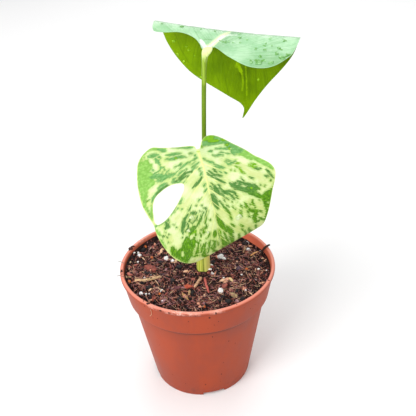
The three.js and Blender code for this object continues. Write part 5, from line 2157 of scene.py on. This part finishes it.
@dataclass
class LooseBit:
    """One loose bit: a copy of its CAD solid, worked up into the real shape."""

    node: str
    kind: Kind
    slot: Slot

    def copied(self) -> Object:
        """Copies the solid and rounds it. A chip keeps its flat faces and sharp edges.

        Returns:
            The copy.
        """
        piece = bpy.data.objects.new(self.node + "_worked", frame["nodes"][self.node].data.copy())
        bpy.context.scene.collection.objects.link(piece)
        activate(piece)
        bpy.ops.object.mode_set(mode="EDIT")
        bpy.ops.mesh.select_all(action="SELECT")
        bpy.ops.mesh.remove_doubles(threshold=0.00002)
        if self.kind is Kind.CHIP:
            bpy.ops.mesh.dissolve_limited(angle_limit=math.radians(4))
            bpy.ops.mesh.select_all(action="SELECT")
            bpy.ops.mesh.quads_convert_to_tris()
            bpy.ops.mesh.subdivide(number_cuts=1)
        bpy.ops.object.mode_set(mode="OBJECT")
        smooth = piece.modifiers.new("smooth", "SUBSURF")
        smooth.subdivision_type = "SIMPLE" if self.kind is Kind.CHIP else "CATMULL_CLARK"
        smooth.levels = smooth.render_levels = self.kind.value[2]
        apply_all(piece)
        return piece

    def build(self, skin: Material) -> Object:
        """Copies the solid, roughens it and dresses it.

        Args:
            skin: The finish.

        Returns:
            The piece.
        """
        rough, grain, _, swell = self.kind.value
        piece = self.copied()
        low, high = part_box(self.node)
        seed = float(sum(map(ord, self.node)) % 97)
        normals = [vertex.normal.copy() for vertex in piece.data.vertices]
        for vertex, out in zip(piece.data.vertices, normals):
            place = vertex.co / MM / grain + Vector((seed, 0, 0))
            push = noise.fractal(place, 0.7, 2.1, 4)
            if self.kind is Kind.GRAIN:
                out = (vertex.co - (low + high) / 2).normalized()
                push = 0.6 * push + 1.1 * noise.noise(place * 0.55) - 0.15
            vertex.co += out * ((push - 0.05) * rough + swell) * MM
        piece.data.shade_smooth()
        return hand_over(piece, self.slot, skin, self.node)


@dataclass
class Litter:
    """Everything that lies loose on the mix, by the start of its node's name."""

    finishes: dict[str, Bits] = field(default_factory=lambda: {
        "perlite": Bits("perlite_grain", (255, 255, 255), (226, 222, 220), 900, 0.0005, 0.9),
        "feed_bead": Bits("feed_bead_resin", (222, 122, 58), (184, 86, 36), 700, 0.00005, 0.28),
        "bark_chip_1": Bits("bark_brown", (168, 90, 76), (96, 48, 42), 420, 0.0006),
        "bark_chip_2": Bits("bark_red", (222, 106, 76), (166, 68, 50), roughness=0.75),
        "bark_chip_3": Bits("bark_violet", (120, 70, 74), (84, 44, 50)),
        "bark_chip_4": Bits("bark_pink", (216, 130, 112), (160, 88, 76)),
        "bark_chip_5": Bits("bark_grey", (104, 84, 98), (70, 52, 62), roughness=0.85),
        "bark_chip_6": Bits("bark_rust", (150, 76, 60), (104, 48, 40)),
        "wood_chip_1": Bits("wood_cream", (252, 226, 172), (224, 182, 126), 700, 0.0003, 0.7),
        "wood_chip_2": Bits("wood_grey", (196, 168, 124), (140, 116, 84), 700, 0.0003, 0.7),
        "wood_chip_3": Bits("wood_orange", (222, 174, 118), (172, 120, 76), 700, 0.0003, 0.7),
        "tan_stick": Bits("stick_tan", (226, 182, 146), (178, 130, 96), 800, 0.0003, 0.75),
        "red_stick": Bits("stick_red", (214, 112, 100), (156, 72, 66), 800, 0.0003, 0.75),
        "gold_splinter": Bits("splinter_gold", (246, 190, 122), (198, 136, 76), 800, 0.0003, 0.7),
        "straw": Bits("straw", (226, 192, 148), (176, 138, 98), 800, 0.0003, 0.75),
        "pale_splinter": Bits("splinter_pale", (206, 172, 126), (156, 116, 78), 800, 0.0003, 0.75),
        "coir_fibre": Bits("coir", (176, 140, 108), (124, 92, 68), 800, 0.0003),
        "dark_twig": Bits("twig_dark", (74, 54, 46), (40, 28, 24), 800, 0.0003),
    })
    kinds: dict[str, Kind] = field(default_factory=lambda: {
        "perlite": Kind.GRAIN, "feed_bead": Kind.BEAD, "bark_chip": Kind.CHIP, "wood_chip": Kind.CHIP,
        "straw_clump": Kind.STICK, "gold": Kind.STRAW, "straw": Kind.STRAW, "coir": Kind.STRAW,
    })

    def build(self) -> None:
        """Works up every loose node of the frame."""
        slots = {row["node"]: row["material_slot"] for row in frame["record"]["subparts"]}
        skins = {start: finish.make() for start, finish in self.finishes.items()}
        for node in sorted(slots):
            for skin in (skins[start] for start in skins if node.startswith(start)):
                kind = next((k for start, k in self.kinds.items() if node.startswith(start)), Kind.STICK)
                LooseBit(node, kind, Slot(slots[node])).build(skin)


@dataclass
class PotDirt:
    """Specks of mix on the pot, and a few loose hairs.

    A speck is its turn from the front in degrees, its height and its size. A hair's stations are a
    turn, a height and a distance out from the pot.
    """

    pot: Pot
    hair_radius: float = 0.2
    on_top: float = 0.3
    seed: int = 19
    specks: tuple[Place, ...] = (
        (7.6, 96.5, 1.5), (12, 101, 1.7), (-37.4, 102.4, 2.3), (-26.3, 101.4, 2), (-7.1, 93.4, 0.8),
        (-20, 101.2, 1.3), (-83, 102.4, 3), (-80, 102.4, 2), (-85, 102.4, 2), (-114, 102.4, 3.6),
        (-117, 102.4, 2.8), (-112, 102.4, 2.2), (-42, 102.4, 1.2), (64, 102.4, 1.4), (28, 102.4, 1),
        (14.2, 90.7, 0.8), (10.4, 71.9, 1), (25.4, 62, 0.9), (32.7, 55.9, 0.9), (20.2, 23.6, 1),
        (3, 14, 1), (56.5, 3.2, 1.6), (21.6, 37.7, 0.8), (19.6, 14.4, 0.7), (-19.3, 13.5, 0.7),
        (-41.1, 52.9, 0.7), (-33.9, 20.3, 0.7), (-35.5, 88.9, 0.7), (-31.3, 90.2, 0.7), (34.6, 95.9, 0.6),
        (41.3, 90.9, 0.8), (11.2, 87.8, 0.6), (6.5, 84.9, 0.6), (46, 92, 0.7), (44, 89, 0.5),
        (-40, 99.8, 1), (-44, 98, 0.7), (-2, 100.4, 0.7), (3, 102.4, 0.8), (118, 70, 1), (150, 44, 0.9),
        (-160, 82, 0.9), (-110, 30, 0.9), (176, 95, 1), (96, 98, 0.8), (-84, 60, 0.8), (204, 20, 0.9),
    )
    hairs: tuple[tuple[Place, ...], ...] = (
        ((-35.4, 98, 0.25), (-35, 95.6, 0.5), (-35.8, 92.6, 0.6), (-38, 89.8, 0.3)),
        ((-93, 103.1, -1.5), (-94, 103.4, 0.6), (-95.4, 102.9, 2.1), (-97, 102, 2.9)),
        ((-75, 103, -1.8), (-76.4, 103.3, 0.2), (-78.4, 102.7, 1.7), (-80, 101.3, 2.7)),
    )
    hair_skins: tuple[Bits, ...] = (
        Bits("hair_tan", (214, 170, 134), (170, 124, 96), 900, 0.0001, 0.7),
        Bits("hair_grey", (150, 142, 132), (110, 100, 92), 900, 0.0001, 0.7),
        Bits("hair_brown", (120, 92, 76), (72, 52, 44), 900, 0.0001, 0.7),
    )

    def spot(self, turn: float, z: float, out: float) -> np.ndarray:
        """Gives a point on or off the pot's outside, in millimetres.

        Args:
            turn: Its turn from the front in degrees.
            z: Its height.
            out: Its distance out from the pot, or from the middle of the lip's top.

        Returns:
            The point.
        """
        radius = self.pot.outer_radius(z)
        if z > self.pot.height - self.on_top:
            radius = self.pot.rim_radius - self.pot.lip_width / 2
        return around(turn, radius + out, z)

    def specked(self) -> Object:
        """Models the specks as crumbs that are flattened against the pot.

        Returns:
            One object that holds them all.
        """
        rng = np.random.default_rng(self.seed)
        base, faces = taken_apart(new_ball(2))
        shapes = []
        for turn, z, size in self.specks:
            out = np.array([0.0, 0.0, 1.0]) if z > self.pot.height - self.on_top else around(turn, 1.0)
            uneven = 1 + 0.5 * (rng.random((len(base), 1)) - 0.5)
            shape = base * size * uneven * (0.7 + 0.5 * rng.random(3))
            shape -= np.outer(shape @ out, out) * 0.6
            shapes.append(self.spot(turn, z, 0.0) + shape)
        return copies("pot_specks", shapes, faces)

    def hair(self, name: str, stations: list[Place]) -> Object:
        """Models one hair as a thin tube.

        Args:
            name: The piece's name.
            stations: Its turns, heights and distances out.

        Returns:
            The hair.
        """
        line = bpy.data.curves.new(name, "CURVE")
        line.dimensions = "3D"
        line.bevel_depth = self.hair_radius * MM
        line.bevel_resolution = 2
        line.use_fill_caps = True
        course = smooth_line([self.spot(*station) for station in stations], 8)
        spline = line.splines.new("POLY")
        spline.points.add(len(course) - 1)
        for point, row in zip(spline.points, course):
            point.co = (*(row * MM), 1)
        strand = bpy.data.objects.new(name, line)
        bpy.context.scene.collection.objects.link(strand)
        activate(strand)
        bpy.ops.object.convert(target="MESH")
        return bpy.context.object

    def build(self) -> None:
        """Models the specks and the hairs."""
        soil = Bits("speck", (84, 44, 36), (44, 24, 22), 900, 0.0003, 0.85)
        hand_over(self.specked(), Slot.MIX, soil.make())
        for i, (stations, skin) in enumerate(zip(self.hairs, self.hair_skins), 1):
            hand_over(self.hair(f"pot_hair_{i}", stations), Slot.WOOD, skin.make())


# The stage


@dataclass
class Stage:
    """The floor, the soft light and the camera at the photograph's angle.

    A lamp is its place and its side in metres, and its power in watts.
    """

    camera_place: Place = (10.053, -410.144, 399.454)
    pitch_deg: float = 31.116
    roll_deg: float = -2.458
    focal_mm: float = 56.25
    floor_size: float = 6.0
    aim: Place = (0, 0, 0.15)
    lamps: dict[str, tuple[Place, float, float]] = field(default_factory=lambda: {
        "key_light": ((-1.0, -1.15, 1.2), 1.0, 24.0),
        "fill_light": ((0.5, -1.7, 0.5), 1.5, 7.0),
        "back_light": ((0.2, 1.3, 1.2), 1.2, 8.0),
        "top_light": ((-0.1, -0.25, 1.5), 1.2, 4.5),
    })
    sky: float = 0.55

    def floor(self) -> None:
        """Lays the pale floor."""
        bpy.ops.object.select_all(action="DESELECT")
        bpy.ops.mesh.primitive_plane_add(size=self.floor_size, location=(0, 0, 0))
        plane = bpy.context.object
        plane.name = "floor"
        ink = Finish("floor_white", 0.9, Specular_IOR_Level=0.1)
        ink.colour = ink.ramp(ink.noise(ink.place(), 4, 2), (0.0, (248, 248, 248)), (1.0, (250, 250, 250)))
        plane.data.materials.append(ink.dress())

    def lamp(self, name: str, place: Place, size: float, watts: float) -> None:
        """Hangs one soft square light that faces the plant.

        Args:
            name: Its name.
            place: Its place in metres.
            size: Its side in metres.
            watts: Its power.
        """
        light = bpy.data.lights.new(name, "AREA")
        light.size = size
        light.energy = watts
        lamp = bpy.data.objects.new(name, light)
        lamp.location = place
        lamp.rotation_euler = (Vector(self.aim) - Vector(place)).to_track_quat("-Z", "Y").to_euler()
        bpy.context.scene.collection.objects.link(lamp)

    def camera(self) -> None:
        """Sets the camera where the photograph was taken from."""
        pitch, roll = math.radians(self.pitch_deg), math.radians(self.roll_deg)
        ahead = Vector((0, math.cos(pitch), -math.sin(pitch)))
        level_up = Vector((0, math.sin(pitch), math.cos(pitch)))
        level_right = Vector((1, 0, 0))
        right = math.cos(roll) * level_right + math.sin(roll) * level_up
        up = -math.sin(roll) * level_right + math.cos(roll) * level_up
        lens = bpy.data.cameras.new("camera")
        lens.lens = self.focal_mm
        lens.sensor_width = 36
        lens.clip_start = 0.01
        camera = bpy.data.objects.new("camera", lens)
        turn = Matrix((right, up, -ahead)).transposed().to_4x4()
        camera.matrix_world = Matrix.Translation(Vector(self.camera_place) * MM) @ turn
        bpy.context.scene.collection.objects.link(camera)
        bpy.context.scene.camera = camera

    def build(self) -> None:
        """Sets everything that isn't part of the object."""
        self.floor()
        for name, (place, size, watts) in self.lamps.items():
            self.lamp(name, place, size, watts)
        world = bpy.data.worlds.new("studio")
        world.use_nodes = True
        background = world.node_tree.nodes["Background"]
        background.inputs["Color"].default_value = (1, 1, 1, 1)
        background.inputs["Strength"].default_value = self.sky
        bpy.context.scene.world = world
        self.camera()
        bpy.context.scene.view_settings.view_transform = "Standard"


STALKS = [
    Stalk(
        name="newer_stalk",
        node="upper_petiole",
        stations=[
            (6.55, -0.5, 96.9, 1.8), (6.55, -0.4, 120, 1.8), (7.5, 1.2, 150, 1.75), (8.8, 1.9, 190, 1.65),
            (10.4, 2, 236, 1.6), (11.4, 1.8, 257, 1.65), (11.8, 1.5, 262, 1.8),
            (12.2, 1.2, 265.6, 2.05, 1.9),
            (13.1, 1.1, 268, 2.9, 2), (13.8, 1.1, 269.6, 3.3, 2), (14.3, 1.3, 270.8, 3.1, 1.6),
            (14.9, 1.6, 271.6, 2.2, 1),
        ],
        skin=StalkSkin(low=(92, 126, 14), middle=(108, 138, 20), high=(132, 162, 36),
                       knee=(226, 242, 164), knee_z=268, mark_z=247, mark_x=10.9),
    ),
    Stalk(
        name="older_stalk",
        node="lower_petiole",
        stations=[
            (2.65, -1.3, 96.9, 1.8), (2.65, -1.8, 116, 1.8), (3.1, -5, 138, 1.7), (3.9, -12, 168, 1.6),
            (4.6, -18.6, 196, 1.7), (4.9, -21.8, 206, 2.1), (5.1, -24.3, 210.4, 2.1),
            (5.2, -25.6, 211.6, 1.6),
        ],
        skin=StalkSkin(low=(106, 144, 34), middle=(100, 138, 28), high=(118, 156, 44),
                       knee=(196, 220, 120), knee_z=206, mark_z=196, mark_x=4),
    ),
]

STEM_SKIN = StalkSkin(low=(150, 168, 84), middle=(176, 190, 104), high=(190, 202, 120),
                      knee=(190, 202, 120), knee_z=100, mark_z=92)
STEM_FOOT = 58

DROPLETS = [
    Droplets("upper_leaf_drops", UPPER_BLADE, Slot.UPPER_LEAF, 1, [
        (-25.2, 19, 1.9), (6.5, 9, 1.2), (8.5, 9.7, 1.3), (10.5, 9.6, 1.1), (16.5, 14.7, 1.2),
        (18, 10, 1.2), (29.7, 5.7, 1.4), (35.7, 5.7, 1.5), (44, 8.7, 1.5), (44.2, 3, 2), (47.7, 0.7, 2.3),
        (51.2, 3.2, 1.9), (34.2, -0.5, 1.5), (30, -7, 1.9), (34.7, -6.2, 2.8), (42.5, -5.2, 2.1),
        (36, 16.7, 1.5), (45.7, 15.5, 1.5), (13.5, 9.2, 1), (21.7, 13.5, 1.1), (34.7, 11.5, 1.1),
        (39.2, 10, 1.2), (-39.7, 19, 1), (15, 19.4, 1.3), (-12, 19.5, 1.2), (-2, 19.3, 1.2),
        (49, -1, 1.6), (38.5, -4.5, 1.4),
    ], Water("water_over_mint", (112, 172, 92), (162, 214, 150), 0.15), 1.15),
    Droplets("underside_drops", UPPER_BLADE, Slot.UPPER_LEAF, -1, [
        (-38.2, 44.2, 1.6), (-36, 54.7, 1.4), (-31.5, 59.5, 1.9), (-29, 47.2, 1.1), (-27, 50, 1.1),
        (-22.7, 53.5, 1), (24.5, 66, 1.4), (-18.8, 70.4, 1.3),
    ], Water("water_under_leaf", (130, 180, 0), (176, 220, 40), 0.1), 1.3),
    Droplets("marbled_leaf_drops", LOWER_BLADE, Slot.MARBLED_LEAF, 1, [
        (-1.2, 51.2, 3.2), (25.7, 36.2, 2.8), (21.2, 50, 2), (32, 42.5, 2),
    ], Water("water_over_cream", (200, 222, 150), (226, 240, 190), 0.3)),
]


def main() -> None:
    """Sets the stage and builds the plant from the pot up."""
    logging.basicConfig(level=logging.INFO, format="%(name)s %(message)s")
    Stage().build()
    pot = Pot()
    pot.build()
    PottingMix(pot).build()
    PotDirt(pot).build()
    Litter().build()
    stem = frame["nodes"]["stem"].data.materials
    stem.clear()
    stem.append(STEM_SKIN.make("stem_skin", STEM_FOOT))
    for stalk in STALKS:
        stalk.build()
    Sheath().build()
    MarbledLeaf().build()
    MintyLeaf().build()
    for drops in DROPLETS:
        drops.build()


if __name__ == "__main__":
    main()
